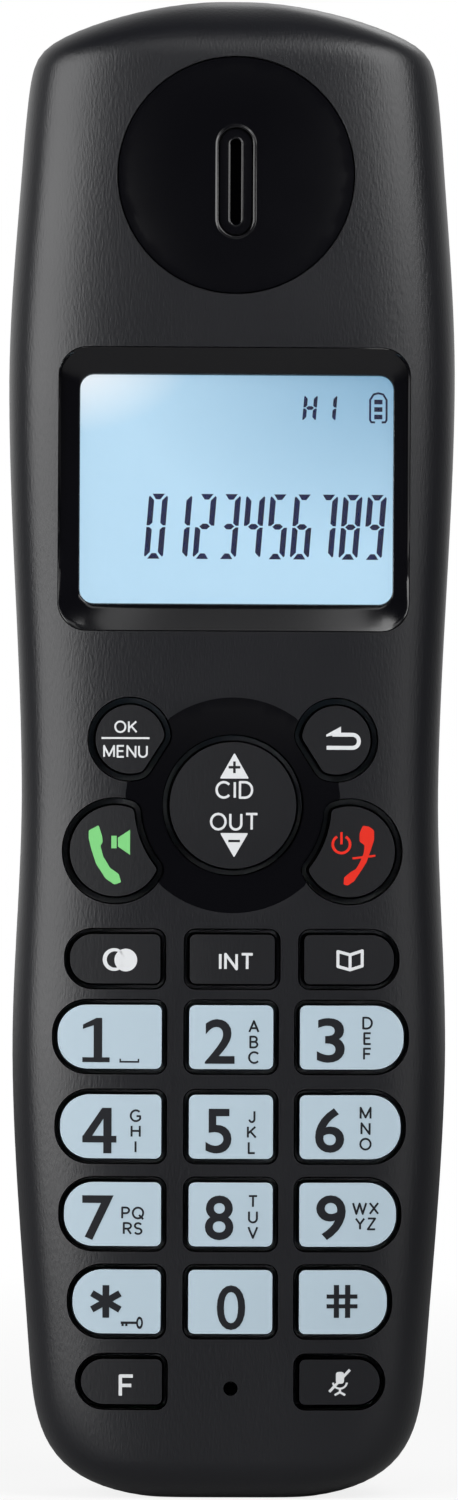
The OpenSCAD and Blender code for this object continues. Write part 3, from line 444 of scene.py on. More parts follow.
def rim(builder, form, loop, previous, side, fillet, wall_y, marks, steps=4):
    """Rounds a sheet's edge over and takes it down to wall_y; side is 1 round a hole, -1 at an outer edge."""
    flip = (form.sign < 0) == (side > 0)
    for k in range(1, steps + 1):
        a = math.pi / 2 * k / steps
        p = loop.grown(side * fillet * (1 - math.sin(a)))
        y = form.y_at(*p.T) - form.sign * fillet * (1 - math.cos(a))
        normal = unit(math.cos(a) * form.normal(*p.T) - side * math.sin(a) * raised(loop.out, 0))
        ring = builder.add(raised(p, y), normal)
        builder.strip(previous, ring, flip, marks)
        previous = ring
    bottom = builder.add(raised(loop.points, wall_y(*loop.points.T)), normal)
    builder.strip(previous, bottom, flip, marks)
    return bottom


def seam_loop(form, spacing=0.8):
    """The skin's edge along the seam, as rolled-out points and as a plan."""
    z = LENGTH * (1 - np.cos(np.linspace(0, math.pi, SEAM_SAMPLES))) / 2
    run = np.concatenate([[0], np.cumsum(np.hypot(np.diff(half_width(z)), np.diff(z)))])
    at = np.interp(np.linspace(0, run[-1], int(run[-1] / spacing)), run, z)
    side = np.stack([half_width(at), at], -1)
    foot = np.linspace(0, 1, int(side[0, 0] / spacing) + 1)[:-1, None]
    top = np.linspace(1, 0, int(side[-1, 0] / spacing) + 1)[1:, None]

    def closed(right, low, high):
        """The whole edge from its right side and its middles at the foot and the top."""
        right = np.vstack([(right[0] - low) * foot + low, right, (right[-1] - high) * top + high])
        return np.vstack([right, (right[1:-1] * (-1, 1))[::-1]])

    low = (0, -form.foot_round - form.depth(0.0))
    high = (0, LENGTH + form.top_round + form.depth(LENGTH))
    return closed(form.flatten(side), low, high), Loop(closed(side, (0, 0), (0, LENGTH)))


def flat_mesh(form, border, voids, creases, spacing):
    """Even triangles over a rolled-out plan, and its points: the border's first, then the voids'."""
    chains = [border, *voids]
    edges = np.vstack(chains)
    for line in creases:
        p = form.flatten(np.asarray(line, float))
        keep = within(p, border, voids) & ~near(p, edges, CREASE_GAP)
        for run in np.split(np.arange(len(p)), np.where(np.diff(keep))[0] + 1):
            if keep[run[0]] and len(run) > 1:
                chains.append(p[run])
    links, first = [], 0
    for k, chain in enumerate(chains):
        n = len(chain)
        links += [(first + i, first + (i + 1) % n) for i in range(n if k <= len(voids) else n - 1)]
        first += n
    fixed = np.vstack(chains)
    grid = hex_grid(border.min(0), border.max(0), spacing)
    grid = grid[inside(grid, border)]
    grid = grid[~near(grid, fixed, spacing * GRID_GAP)]
    flat = np.vstack([fixed, grid[within(grid, border, voids)]])
    tri = triangulated(flat, links)
    tri = tri[within(flat[tri].mean(1), border, voids)]
    a, b, c = flat[tri].transpose(1, 0, 2)
    turn = (b[:, 0] - a[:, 0]) * (c[:, 1] - a[:, 1]) - (b[:, 1] - a[:, 1]) * (c[:, 0] - a[:, 0])
    return flat, np.where((turn > 0)[:, None], tri, tri[:, ::-1])


def plain(x, z):
    """One finish all over."""
    return np.zeros(len(x), int)


def sheet(name, form, edge, holes=(), creases=(), spacing=1.1, fillet=0.2, thick=WALL, floor=None,
          materials=(), paint=plain, layers=()):
    """A closed wall over a form: out to the seam if edge is None, else within a plan, with holes in it.
    Its inner side lies at a thickness, or on the plane y = floor."""
    builder = Builder()
    sign = form.sign
    if edge is None:
        border, seam = seam_loop(form)
    else:
        border = form.flatten(edge.grown(-fillet))
    voids = [form.flatten(h.grown(h.fillet or fillet)) for h in holes]
    flat, tri = flat_mesh(form, border, voids, creases, spacing)
    n = len(border)
    x, y, z = form.place(*flat.T)
    if edge is None:
        x[:n], z[:n], y[:n] = *seam.points.T, form.base
    normal = form.normal(x, z)
    if edge is None:
        ends = form.unroll(flat[:, 1])[1] < 1
        normal[ends] = np.stack([0 * z, 0 * z, np.sign(z - LENGTH / 2)], -1)[ends]
        normal[:n] = raised(seam.out, 0)
    points = np.stack([x, y, z], -1)
    outer = builder.add(points, normal)
    faces = tri if sign < 0 else tri[:, ::-1]
    marks = paint(*points[tri].mean(1)[:, ::2].T)
    for mark in np.unique(marks):
        builder.face(faces[marks == mark], mark)

    def wall_y(px, pz):
        return form.y_at(px, pz) - sign * thick if floor is None else np.full_like(px, floor)

    inner = np.full(len(flat), -1)
    if edge is None:
        lap = SEAM + sign * HAIR
        groove = builder.add(raised(seam.grown(-SHADOW_DEPTH), lap), normal[:n])
        inner[:n] = builder.add(raised(seam.grown(-thick), lap), -normal[:n])
        builder.strip(groove, outer[:n], sign > 0)
        builder.strip(inner[:n], groove, sign > 0)
    else:
        inner[:n] = rim(builder, form, edge, outer[:n], -1, fillet, wall_y, 0)
    for hole, void in zip(holes, voids):
        ids = np.arange(n, n + len(void))
        n += len(void)
        marks = paint(*hole.points.T)
        inner[ids] = rim(builder, form, hole, outer[ids], 1, hole.fillet or fillet, wall_y, marks)
    rest = np.setdiff1d(tri, np.where(inner >= 0)[0])
    inner_points = points - normal * thick if floor is None else raised(points[:, ::2], floor)
    inner[rest] = builder.add(inner_points[rest], -normal[rest])
    builder.face(inner[faces[:, ::-1]])
    for layer_points, layer_normals, layer_faces in layers:
        first = builder.add(layer_points, layer_normals)[0]
        builder.face([[first + i for i in f] for f in layer_faces], 1)
    return builder.object(name, materials)


# ---- shader nodes and materials ----


def srgb(*values):
    """Linear colour of 0-255 display values."""
    c = [v / 255 for v in values]
    return (*[v / 12.92 if v <= 0.04045 else ((v + 0.055) / 1.055) ** 2.4 for v in c], 1)


def feed(tree, made, inputs):
    """Sets a node's inputs, each to a value or to the output that feeds it."""
    for name, value in inputs.items():
        if isinstance(value, bpy.types.NodeSocket):
            tree.links.new(value, made.inputs[name])
        else:
            made.inputs[name].default_value = value


def shader_node(tree, kind, inputs=None, output=0, **options):
    """An output of a new shader node."""
    made = tree.nodes.new("ShaderNode" + kind)
    for name, value in options.items():
        setattr(made, name, value)
    feed(tree, made, inputs or {})
    return made.outputs[output]


def colour_mix(tree, factor, a, b):
    return shader_node(tree, "Mix", {0: factor, 6: a, 7: b}, 2, data_type="RGBA")


def glow_ball(tree, centre, size):
    """How near a place is to a centre: 1 there, and 0 from a size away."""
    offset = [-c / s for c, s in zip(centre, size)]
    place = shader_node(tree, "TexCoord", output="Object")
    sized = {"Vector": place, "Scale": [1 / s for s in size], "Location": offset}
    scaled = shader_node(tree, "Mapping", sized)
    return shader_node(tree, "TexGradient", {"Vector": scaled}, "Fac", gradient_type="SPHERICAL")


def started(name):
    """A new material, its node tree and its shader."""
    m = bpy.data.materials.new(name)
    m.use_nodes = True
    return m, m.node_tree, m.node_tree.nodes["Principled BSDF"]


def material(name, colour, roughness, grain=None, metallic=0, mottle=0.06, wear=0.08, specular=0.5):
    """A moulded or printed finish that varies a little; grain is its size and height in mm."""
    m, tree, shader = started(name)
    place = shader_node(tree, "TexCoord", output="Object")
    cloud = shader_node(tree, "TexNoise", {"Vector": place, "Scale": CLOUD_SCALE, "Detail": 4}, "Fac")
    darker, lighter = ([min(1, v * (1 + way * mottle)) for v in srgb(*colour)[:3]] + [1] for way in (-1, 1))
    rub = {"Value": cloud, "To Min": roughness * (1 - wear), "To Max": min(1, roughness * (1 + wear))}
    feed(tree, shader, {
        "Base Color": colour_mix(tree, cloud, darker, lighter),
        "Roughness": shader_node(tree, "MapRange", rub),
        "Metallic": metallic,
        "Specular IOR Level": specular,
    })
    if grain:
        size, height = grain
        stretched = shader_node(tree, "Mapping", {"Vector": place, "Scale": GRAIN_STRETCH})
        fine = {"Vector": stretched, "Scale": 1 / (size * MM), "Detail": 2}
        pits = shader_node(tree, "TexNoise", fine, "Fac")
        feed(tree, shader, {"Normal": shader_node(tree, "Bump", {"Height": pits, "Distance": height * MM})})
    return m


def lcd_material():
    """A backlit display: pale blue, whiter in its upper left corner and deeper towards its upper right."""
    m, tree, shader = started("lcd_glow")
    low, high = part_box("lcd_panel")
    right = glow_ball(tree, (high.x * 0.9, low.y, high.z), (0.029, 1, 0.021))
    left = glow_ball(tree, (low.x, low.y, high.z), (0.014, 1, 0.008))
    blue = colour_mix(tree, right, srgb(179, 217, 241), srgb(112, 160, 192))
    feed(tree, shader, {
        "Roughness": 0.3,
        "Base Color": srgb(60, 75, 85),
        "Emission Color": colour_mix(tree, left, blue, srgb(255, 255, 255)),
        "Emission Strength": 0.93,
    })
    return m


def clear_material():
    """The clear plastic of the window, with a trace of haze."""
    m, tree, shader = started("window_clear")
    place = shader_node(tree, "TexCoord", output="Object")
    cloud = shader_node(tree, "TexNoise", {"Vector": place, "Scale": 300}, "Fac")
    haze = shader_node(tree, "MapRange", {"Value": cloud, "To Max": 0.02})
    white = srgb(255, 255, 255)
    feed(tree, shader, {"Base Color": white, "Transmission Weight": 1, "IOR": 1.45, "Roughness": haze})
    return m


casing_plastic = material("casing_plastic", (11, 12, 17), 0.35, (0.22, 0.024), mottle=0.08)
gloss_black = material("gloss_black", (4, 4, 7), 0.16, mottle=0.1, wear=0.2)
key_black = material("key_black", (14, 15, 19), 0.45, (0.3, 0.02), specular=0.3)
key_pale = material("key_pale", (164, 181, 192), 0.45, mottle=0.02, specular=0.3)
ink_dark = material("ink_dark", (20, 22, 27), 0.6, mottle=0.05, specular=0.2)
ink_white = material("ink_white", (202, 204, 206), 0.6, mottle=0.02, specular=0.2)
ink_green = material("ink_green", (114, 188, 115), 0.6, mottle=0.02, specular=0.2)
ink_red = material("ink_red", (206, 38, 21), 0.6, mottle=0.02, specular=0.2)
segment_ink = material("segment_ink", (0, 12, 64), 0.9, mottle=0.05, specular=0)
# Pitch black with no sheen: the mesh and felt behind the sound holes, darkened past any real felt so that
# they paint the holes' shade
dark_backing_painted_shade = material("dark_backing_painted_shade", (3, 3, 4), 0.9, (0.2, 0.1), specular=0)
lcd_glow = lcd_material()

INNER_FINISHES = (
    ("gasket_foam", (40, 40, 42), 0.95, (0.5, 0.25), {"mottle": 0.3}, "receiver_gasket"),
    ("capsule_steel", (190, 190, 192), 0.32, (0.15, 0.01), {"metallic": 1},
     "earpiece_receiver", "microphone"),
    ("light_guide", (225, 230, 232), 0.35, None, {}, "lcd_backlight"),
    ("tray_plastic", (26, 26, 28), 0.5, (0.3, 0.03), {}, "lcd_frame"),
    ("board_green", (28, 86, 52), 0.35, (0.6, 0.02), {"mottle": 0.2}, "circuit_board"),
    ("silicone", (170, 174, 178), 0.6, (0.4, 0.02), {}, "keypad_mat"),
    ("rubber_black", (24, 24, 24), 0.8, (0.3, 0.04), {}, "microphone_boot"),
    ("speaker_black", (30, 30, 32), 0.5, (0.3, 0.03), {}, "ringer_speaker"),
    ("shield_tin", (200, 201, 204), 0.3, (0.2, 0.01), {"metallic": 1}, "rf_shield", "antenna"),
    ("chip_resin", (34, 34, 36), 0.6, (0.12, 0.02), {}, "main_chip"),
    ("contact_gold", (214, 178, 104), 0.26, (0.25, 0.01), {"metallic": 1, "wear": 0.25},
     "charging_contact_left", "charging_contact_right"),
    ("cell_sleeve", (58, 150, 92), 0.34, None, {"mottle": 0.05}, "battery_cell_left", "battery_cell_right"),
    ("spring_steel", (196, 196, 198), 0.28, (0.2, 0.01), {"metallic": 1},
     "battery_springs", "battery_plates"),
    ("screw_steel", (120, 121, 124), 0.36, (0.2, 0.01), {"metallic": 1}, "case_screws", "board_screws"),
)


def dress(solid, finish):
    """Gives a carried-over solid one finish."""
    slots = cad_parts[solid].data.materials
    if len(slots) == 0:
        slots.append(finish)
    for i in range(len(slots)):
        slots[i] = finish


dress("display_lens", clear_material())
for name, colour, roughness, grain, options, *solids in INNER_FINISHES:
    finish = material(name, colour, roughness, grain, **options)
    for solid in solids:
        dress(solid, finish)

# ---- the keys' plans and tops ----

FLANGE_LAP = 0.45
DIGIT_GAP, BLACK_GAP, NAV_GAP = 0.35, 0.55, 0.5
CAP_EXTRA, FOOT_TRIM = 0.22, 0.45
FUNCTION_GAP = BLACK_GAP - CAP_EXTRA
KEY_PROUD = 0.4
CORNER, DIGIT_END, FUNCTION_END = 0.8, 3.3, 2.4
SIDE_CROWN_X, MIDDLE_CROWN, NAV_HOLLOW = 5, 60, 0.0025
DIGITS = tuple("key_" + sign for sign in (*"123456789", "star", "0", "hash"))
FUNCTIONS = ("key_redial", "key_int", "key_phonebook", "key_f", "key_mute")
# The digit keys' caps differ a little from their solids: each row is higher, and each column's ends move
ROW_LIFTS = (0.2, 0.16, 0.34, 0.54)
COLUMN_SHIFTS = ((-0.3, 0.0), (-0.15, 0.0), (-0.25, 0.1))


def cap_box(node, gap):
    """Corners of a key's cap in the face's plan, inside its flange."""
    low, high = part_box(node)
    lap = gap + FLANGE_LAP
    return low.x / MM + lap, high.x / MM - lap, low.z / MM + lap, high.z / MM - lap


def boxed_key(key, gap, end, trim=0.0):
    """A box whose outer end is rounder than its other corners."""
    x0, x1, z0, z1 = cap_box(key, gap)
    z0 += trim
    if key in DIGITS:
        row, column = divmod(DIGITS.index(key), 3)
        x0, x1 = x0 + COLUMN_SHIFTS[column][0], x1 + COLUMN_SHIFTS[column][1]
        z0, z1 = z0 + ROW_LIFTS[row], z1 + ROW_LIFTS[row]
    return round_box(x0, x1, z0, z1, end if x1 < 0 else CORNER, end if x0 > 0 else CORNER)


nav_x0, nav_x1, nav_z0, nav_z1 = cap_box("key_navigate", NAV_GAP)
NAV_Z, NAV_R = (nav_z0 + nav_z1) / 2, (nav_x1 - nav_x0) / 2
MENU_X, MENU_Z, MENU_R, MENU_CUT = 11, NAV_Z + 7, 3.875, 9.3
TALK_X, TALK_Z, TALK_R, TALK_CUT = 12.5, NAV_Z - 4.9, 5.05, 9.8
RING_R, RING_SINK = 11.5, 0.6
KEY_SOFTNESS = 1.0


def menu_key():
    """Round, with a straight side towards the navigation key."""
    aim = math.degrees(math.atan2(MENU_Z - NAV_Z, MENU_X))
    reach = math.hypot(MENU_Z - NAV_Z, MENU_X) - (MENU_CUT + BLACK_GAP)
    half = math.degrees(math.acos(reach / MENU_R))
    points = arc(MENU_X, MENU_Z, MENU_R, aim - 180 + half, aim + 180 - half, 96)
    return Loop(resampled(softened(points, KEY_SOFTNESS), 0.3))


def talk_key():
    """Round, with a hollow side that runs round the navigation key."""
    aim = math.degrees(math.atan2(TALK_Z - NAV_Z, TALK_X))
    far = math.hypot(TALK_Z - NAV_Z, TALK_X)
    cut = TALK_CUT + BLACK_GAP
    half = math.degrees(math.acos((far**2 + TALK_R**2 - cut**2) / (2 * far * TALK_R)))
    bay = math.degrees(math.acos((far**2 + cut**2 - TALK_R**2) / (2 * far * cut)))
    outer = arc(TALK_X, TALK_Z, TALK_R, aim - 180 + half, aim + 180 - half, 96)
    hollow = arc(0, NAV_Z, cut, aim + bay, aim - bay, 48)
    return Loop(resampled(softened(np.vstack([outer, hollow[1:-1]]), KEY_SOFTNESS), 0.3))


PLANS = {key: boxed_key(key, DIGIT_GAP, DIGIT_END) for key in DIGITS}
for key in FUNCTIONS:
    trim = FOOT_TRIM if key in ("key_f", "key_mute") else 0.0
    PLANS[key] = boxed_key(key, FUNCTION_GAP, FUNCTION_END + CAP_EXTRA, trim)
PLANS["key_navigate"] = circle(0, NAV_Z, NAV_R)
PLANS["key_back"] = menu_key()
PLANS["key_menu"] = mirrored(PLANS["key_back"])
PLANS["key_end"] = talk_key()
PLANS["key_talk"] = mirrored(PLANS["key_end"])
GAPS = dict.fromkeys(PLANS, BLACK_GAP) | {"key_navigate": NAV_GAP}
GAPS |= dict.fromkeys(DIGITS, DIGIT_GAP) | dict.fromkeys(FUNCTIONS, FUNCTION_GAP)


def bowl(x, z, centre_z, r, depth):
    """Depth of a shallow round hollow on the middle line."""
    ball = (r**2 + depth**2) / (2 * depth)
    return np.sqrt(ball**2 - np.minimum(x**2 + (z - centre_z) ** 2, r**2)) - (ball - depth)


def ring_sink(x, z):
    """Depth of the shallow ring round the navigation key."""
    return np.maximum(0, bowl(x, z, NAV_Z, RING_R, RING_SINK))


front = front_half()


def key_form(key):
    """The key's top: it follows the face and is crowned towards its outer end."""
    x, z = PLANS[key].points.T
    if key == "key_navigate":
        return Form(-1, lambda x, z: face_at(z) - KEY_PROUD + NAV_HOLLOW * (x**2 + (z - NAV_Z) ** 2))
    if np.abs(x).min() < 1:
        return Form(-1, lambda x, z: face_at(z) - KEY_PROUD + x**2 / (2 * MIDDLE_CROWN))
    outer, middle = np.abs(x).max(), (z.min() + z.max()) / 2
    drop = front.y_at(outer, middle) - face_at(middle)
    radius = (outer - SIDE_CROWN_X) ** 2 / (2 * drop)

    def top(x, z):
        past = np.maximum(0, np.abs(x) - SIDE_CROWN_X)
        return face_at(z) - KEY_PROUD + radius - np.sqrt(radius**2 - past**2)

    return Form(-1, top)


# ---- legends: flat shapes in millimetres, then thin closed layers laid on a surface ----

INK_PROUD, INK_SUNK, INK_STEP = 0.03, 0.06, 0.8
DIGIT_HEIGHT, DIGIT_BOLD, ZERO_BOLD, DIGIT_CURVES = 4.75, 0.016, 0.008, 5
LETTER_HEIGHT, LETTER_PITCH, LETTER_STROKE, LETTER_SPACING = 1.36, 1.65, 0.21, 0.13


def font_digit(digit, bold):
    """A digit of the built-in font, its middle at 0, 0."""
    curve = bpy.data.curves.new("digit", "FONT")
    curve.body = digit
    curve.offset = bold
    curve.resolution_u = DIGIT_CURVES
    obj = placed("digit", curve)
    mesh = obj.evaluated_get(bpy.context.evaluated_depsgraph_get()).to_mesh()
    p = np.array([v.co[:2] for v in mesh.vertices])
    faces = [list(f.vertices) for f in mesh.polygons]
    bpy.data.objects.remove(obj)
    low, high = p.min(0), p.max(0)
    return (p - (low + high) / 2) * DIGIT_HEIGHT / (high[1] - low[1]), faces


def bow(cx, cz, rx, rz, start, end):
    """Points along part of an ellipse."""
    return [(cx + rx * x, cz + rz * z) for x, z in arc(0, 0, 1, start, end, 16)]


# Each capital is its width and its strokes, in a box that is 1 wide and 1 high
P_TOP = [(0, 0), (0, 1), (0.5, 1), *bow(0.5, 0.74, 0.5, 0.26, 90, -90), (0, 0.48)]
RING = bow(0.5, 0.5, 0.5, 0.5, 0, 360)
LETTERS = {
    "A": (0.72, [[(0, 0), (0.5, 1), (1, 0)], [(0.18, 0.35), (0.82, 0.35)]]),
    "B": (0.55, [[(0.5, 0.52), (0, 0.52), (0, 1), (0.5, 1), *bow(0.5, 0.76, 0.42, 0.24, 90, -90),
                  *bow(0.5, 0.26, 0.5, 0.26, 90, -90), (0, 0), (0, 0.52)]]),
    "C": (0.74, [bow(0.55, 0.5, 0.55, 0.5, 42, 318)]),
    "D": (0.68, [[(0, 0), (0, 1), (0.4, 1), *bow(0.4, 0.5, 0.6, 0.5, 90, -90), (0, 0), (0, 0.1)]]),
    "E": (0.5, [[(1, 1), (0, 1), (0, 0), (1, 0)], [(0, 0.53), (0.9, 0.53)]]),
    "F": (0.54, [[(1, 1), (0, 1), (0, 0)], [(0, 0.52), (0.88, 0.52)]]),
    "G": (0.78, [[*bow(0.52, 0.5, 0.52, 0.5, 45, 325), (0.946, 0.46), (0.58, 0.46)]]),
    "H": (0.64, [[(0, 0), (0, 1)], [(1, 0), (1, 1)], [(0, 0.53), (1, 0.53)]]),
    "I": (0.01, [[(0, 0), (0, 1)]]),
    "J": (0.4, [[(1, 1), *bow(0.5, 0.27, 0.5, 0.27, 0, -165)]]),
    "K": (0.62, [[(0, 0), (0, 1)], [(0.95, 1), (0, 0.36)], [(0.3, 0.58), (1, 0)]]),
    "L": (0.48, [[(0, 1), (0, 0), (1, 0)]]),
    "M": (0.78, [[(0, 0), (0, 1), (0.5, 0.1), (1, 1), (1, 0)]]),
    "N": (0.64, [[(0, 0), (0, 1), (1, 0), (1, 1)]]),
    "O": (0.82, [RING]),
    "P": (0.54, [P_TOP]),
    "Q": (0.82, [RING, [(0.6, 0.32), (1, -0.08)]]),
    "R": (0.56, [P_TOP, [(0.5, 0.48), (1, 0)]]),
    "S": (0.54, [[*bow(0.5, 0.755, 0.46, 0.245, 25, 270), *bow(0.5, 0.255, 0.5, 0.255, 90, -155)]]),
    "T": (0.64, [[(0, 1), (1, 1)], [(0.5, 1), (0.5, 0)]]),
    "U": (0.62, [[(0, 1), *bow(0.5, 0.34, 0.5, 0.34, 180, 360), (1, 1)]]),
    "V": (0.7, [[(0, 1), (0.5, 0), (1, 1)]]),
    "W": (1.04, [[(0, 1), (0.26, 0), (0.5, 0.95), (0.74, 0), (1, 1)]]),
    "X": (0.66, [[(0, 0), (1, 1)], [(0, 1), (1, 0)]]),
    "Y": (0.66, [[(0, 1), (0.5, 0.48), (1, 1)], [(0.5, 0.48), (0.5, 0)]]),
    "Z": (0.58, [[(0, 1), (1, 1), (0, 0), (1, 0)]]),
}


def lettering(body, height, x, z, stroke, spacing=0.2):
    """Capitals of a height, drawn with strokes of one width, their middle at x, z."""
    tall = height - stroke
    shapes, at = [], 0
    for c in body:
        wide, lines = LETTERS[c]
        wide *= height
        at += stroke / 2
        strokes = [line([(at + u * wide, v * tall) for u, v in points], stroke) for points in lines]
        shapes.append(merged(sum(strokes, [])))
        at += wide + stroke / 2 + spacing * height
    middle = (at - spacing * height) / 2
    return [moved(s, x - middle, z - tall / 2) for s in shapes]


def merged(polygons, cuts=()):
    """The union of closed outlines, less the cuts."""
    points, chains = [], []
    for p in (*polygons, *cuts):
        n, first = len(p), len(points)
        points.extend(Vector(map(float, q)) for q in p)
        chains.extend((first + i, first + (i + 1) % n) for i in range(n))
    verts, _, faces, _, _, _ = delaunay_2d_cdt(points, chains, [], 0, 1e-6)
    verts = np.array([v[:] for v in verts])
    middle = np.array([verts[f].mean(0) for f in faces])
    keep = np.zeros(len(faces), bool)
    for p in polygons:
        keep |= inside(middle, np.asarray(p, float))
    for p in cuts:
        keep &= ~inside(middle, np.asarray(p, float))
    return verts, [f for f, k in zip(faces, keep) if k]


def line(points, width, round_ends=False):
    """Outlines that together draw a line of some width through points."""
    p = np.asarray(points, float)
    p = p[np.append(True, np.linalg.norm(np.diff(p, axis=0), axis=1) > 1e-4)]
    parts = []
    for a, b in zip(p[:-1], p[1:]):
        along = (b - a) / np.linalg.norm(b - a)
        across = np.array([-along[1], along[0]]) * width / 2
        parts.append([a - across, b - across, b + across, a + across])
    joints = p if round_ends else p[1:-1]
    parts += [disc(x, z, width / 2, 14) for x, z in joints]
    return parts


def rounded(points, reach):
    """A closed outline with soft corners."""
    return resampled(softened(np.asarray(points, float), reach), max(0.12, reach / 3))


def rectangle(x0, x1, z0, z1):
    return [(x0, z0), (x1, z0), (x1, z1), (x0, z1)]


def disc(x, z, r, steps=40):
    return arc(x, z, r, 0, 360, steps)[:-1]


def moved(shape, x, z):
    points, faces = shape
    return points + (x, z), faces


def layer(shape, form):
    """A thin closed layer of ink in the shape, laid over the form: its points, normals and faces."""
    points, polygons = shape
    bm = bmesh.new()
    verts = [bm.verts.new((x, z, 0)) for x, z in points]
    for f in polygons:
        if len(set(f)) > 2:
            bm.faces.new([verts[i] for i in f])
    bmesh.ops.remove_doubles(bm, verts=bm.verts, dist=1e-4)
    for axis, way in enumerate(np.eye(3)[:2]):
        for at in np.arange(points[:, axis].min() + INK_STEP, points[:, axis].max(), INK_STEP):
            everything = bm.verts[:] + bm.edges[:] + bm.faces[:]
            bmesh.ops.bisect_plane(bm, geom=everything, plane_co=way * at, plane_no=way)
    bmesh.ops.recalc_face_normals(bm, faces=bm.faces)
    bmesh.ops.reverse_faces(bm, faces=[f for f in bm.faces if f.normal.z < 0])
    bm.verts.index_update()
    flat = np.array([v.co[:2] for v in bm.verts])
    n = len(flat)
    faces = []
    for f in bm.faces:
        ids = [v.index for v in f.verts]
        faces += [ids, [i + n for i in reversed(ids)]]
        for corner in f.loops:
            if corner.edge.is_boundary:
                a, b = corner.vert.index, corner.link_loop_next.vert.index
                faces.append([b, a, a + n, b + n])
    bm.free()
    y = form.y_at(*flat.T)
    top, low = raised(flat, y + form.sign * INK_PROUD), raised(flat, y - form.sign * INK_SUNK)
    normal = form.normal(*flat.T)
    return np.vstack([top, low]), np.vstack([normal, normal]), faces


def own(key):
    """The middle that a key's legend is placed from."""
    points = PLANS[key].points
    side = -1 if points[:, 0].max() < 0 else 1
    if key == "key_navigate":
        return 0, NAV_Z
    if key in ("key_menu", "key_back"):
        return side * MENU_X, MENU_Z
    if key in ("key_talk", "key_end"):
        return side * TALK_X, TALK_Z
    x, z = (points.min(0) + points.max(0)) / 2
    if key in DIGITS:
        x -= sum(COLUMN_SHIFTS[DIGITS.index(key) % 3]) / 2
    return x, z


# Digit, its stretch and place; letters, from top to bottom, and their place
NUMBERS = {
    "key_2": ("2", 1.04, -1.31, -0.45, "ABC", 2.33, -0.5),
    "key_3": ("3", 1.17, -2.33, -0.3, "DEF", 1.6, -0.1),
    "key_4": ("4", 1.06, -1.36, -0.45, "GHI", 2.5, -0.5),
    "key_5": ("5", 1.0, -1.4, -0.45, "JKL", 2.15, -0.55),
    "key_6": ("6", 1.07, -2.27, -0.35, "MNO", 1.57, -0.15),
    "key_7": ("7", 1.06, -1.7, -0.4, ("PQ", "RS"), 2.0, -0.7),
    "key_8": ("8", 1.0, -1.3, -0.35, "TUV", 2.3, -0.25),
    "key_9": ("9", 1.07, -1.87, -0.3, ("WX", "YZ"), 1.83, -0.15),
}


def four():
    """The digit as its diagonal, bar and stem."""
    slope = [(-1.7, -1.27), (-1.7, -0.65), (0.28, 2.42), (0.6, 2.42), (0.6, 1.6), (0.4, 1.25), (-0.72, -0.57),
             (-0.72, -1.27)]
    return merged([slope, rectangle(-1.7, 1.72, -1.27, -0.55), rectangle(0.4, 1.22, -2.42, 2.42)])


def one():
    """The digit as its stem with a flag, and its foot."""
    stem = [(-0.95, -2.7), (-0.95, 2.0), (-1.55, 2.0), (-3.0, 1.28), (-3.0, 0.82), (-1.85, 1.2),
            (-1.85, -2.7)]
    return merged([stem, rectangle(-3.05, -0.15, -2.72, -2.2)])


def space_bar():
    ends = [rectangle(*side, -2.6, -2.33) for side in ((0.9, 1.06), (2.84, 3.0))]
    return merged([rectangle(0.9, 3.0, -2.75, -2.57), *ends])


def asterisk(r, width):
    ways = [np.array([math.sin(a), math.cos(a)]) * r for a in (0, math.pi / 3, -math.pi / 3)]
    return merged(sum([line([way, -way], width) for way in ways], []))


def hash_sign():
    bars = [rectangle(x - 0.28, x + 0.28, -1.75, 1.75) for x in (-0.6, 0.6)]
    bars += [rectangle(-1.65, 1.65, z - 0.22, z + 0.22) for z in (-0.52, 0.52)]
    return merged(bars)


def small_key():
    head = disc(0, 0, 0.66, 24) * (0.55, 1)
    eye = disc(0, 0, 0.38, 24) * (0.45, 1)
    shaft = line([(-0.28, 0), (-2.0, 0)], 0.26)
    teeth = [rectangle(x - 0.12, x + 0.12, -0.36, 0) for x in (-1.8, -1.4)]
    return merged([head, *shaft, *teeth], [eye])


def ok_menu():
    words = lettering("OK", 1.33, -0.45, 1.32, 0.19, 0.13) + lettering("MENU", 1.36, -0.48, -1.3, 0.19, 0.13)
    return [*words, merged([rectangle(-3.03, 2.07, 0.02, 0.22)])]


def return_arrow():
    turn = arc(0.95, -0.27, 0.7, -90, 90, 18)
    bar = line([(-1.8, -0.97), *turn, (-1.2, 0.43)], 0.42)
    head = [(-1.85, 0.22), (-1.85, 0.42), (-0.27, 1.3), (-0.27, 0.5)]
    return merged([*bar, head])


def triangle(points, bars):
    return merged([rounded(points, 0.3)], bars)


def navigation():
    plus = [rectangle(-0.63, 0.63, 3.92, 4.2), rectangle(-0.14, 0.14, 3.43, 4.69)]
    up = triangle([(-1.55, 2.86), (1.55, 2.86), (0, 5.6)], plus)
    down = triangle([(-1.5, -2.95), (0, -5.55), (1.5, -2.95)], [rectangle(-0.62, 0.62, -3.93, -3.67)])
    words = lettering("CID", 1.9, 0, 1.65, 0.25, 0.15) + lettering("OUT", 1.9, 0, -1.74, 0.25, 0.13)
    return [moved(shape, 0.14, 0) for shape in (*words, up, down)]


HANDSET = [(-2.85, 2.15), (-1.8, 2.72), (-1.42, 1.55), (-1.35, 0.95), (-1.6, 0.52), (-1.3, -0.6),
           (-0.55, -1.85), (-0.15, -2.1), (0.38, -2.5), (0.62, -3.35), (-0.1, -3.6), (-1.05, -2.95),
           (-2.05, -1.4), (-2.55, 0.1), (-2.85, 1.3)]


def loudspeaker():
    box = rectangle(-0.44, 0.12, 0.27, 1.6)
    horn = [(0.26, 0.45), (1.55, -0.42), (1.55, 2.25), (0.26, 1.4)]
    return merged([box, horn])


def power_sign():
    ring = line(arc(-0.65, 0.8, 0.93, 120, 420, 30), 0.28)
    return merged([*ring, *line([(-0.65, 2.1), (-0.65, 0.8)], 0.25)])


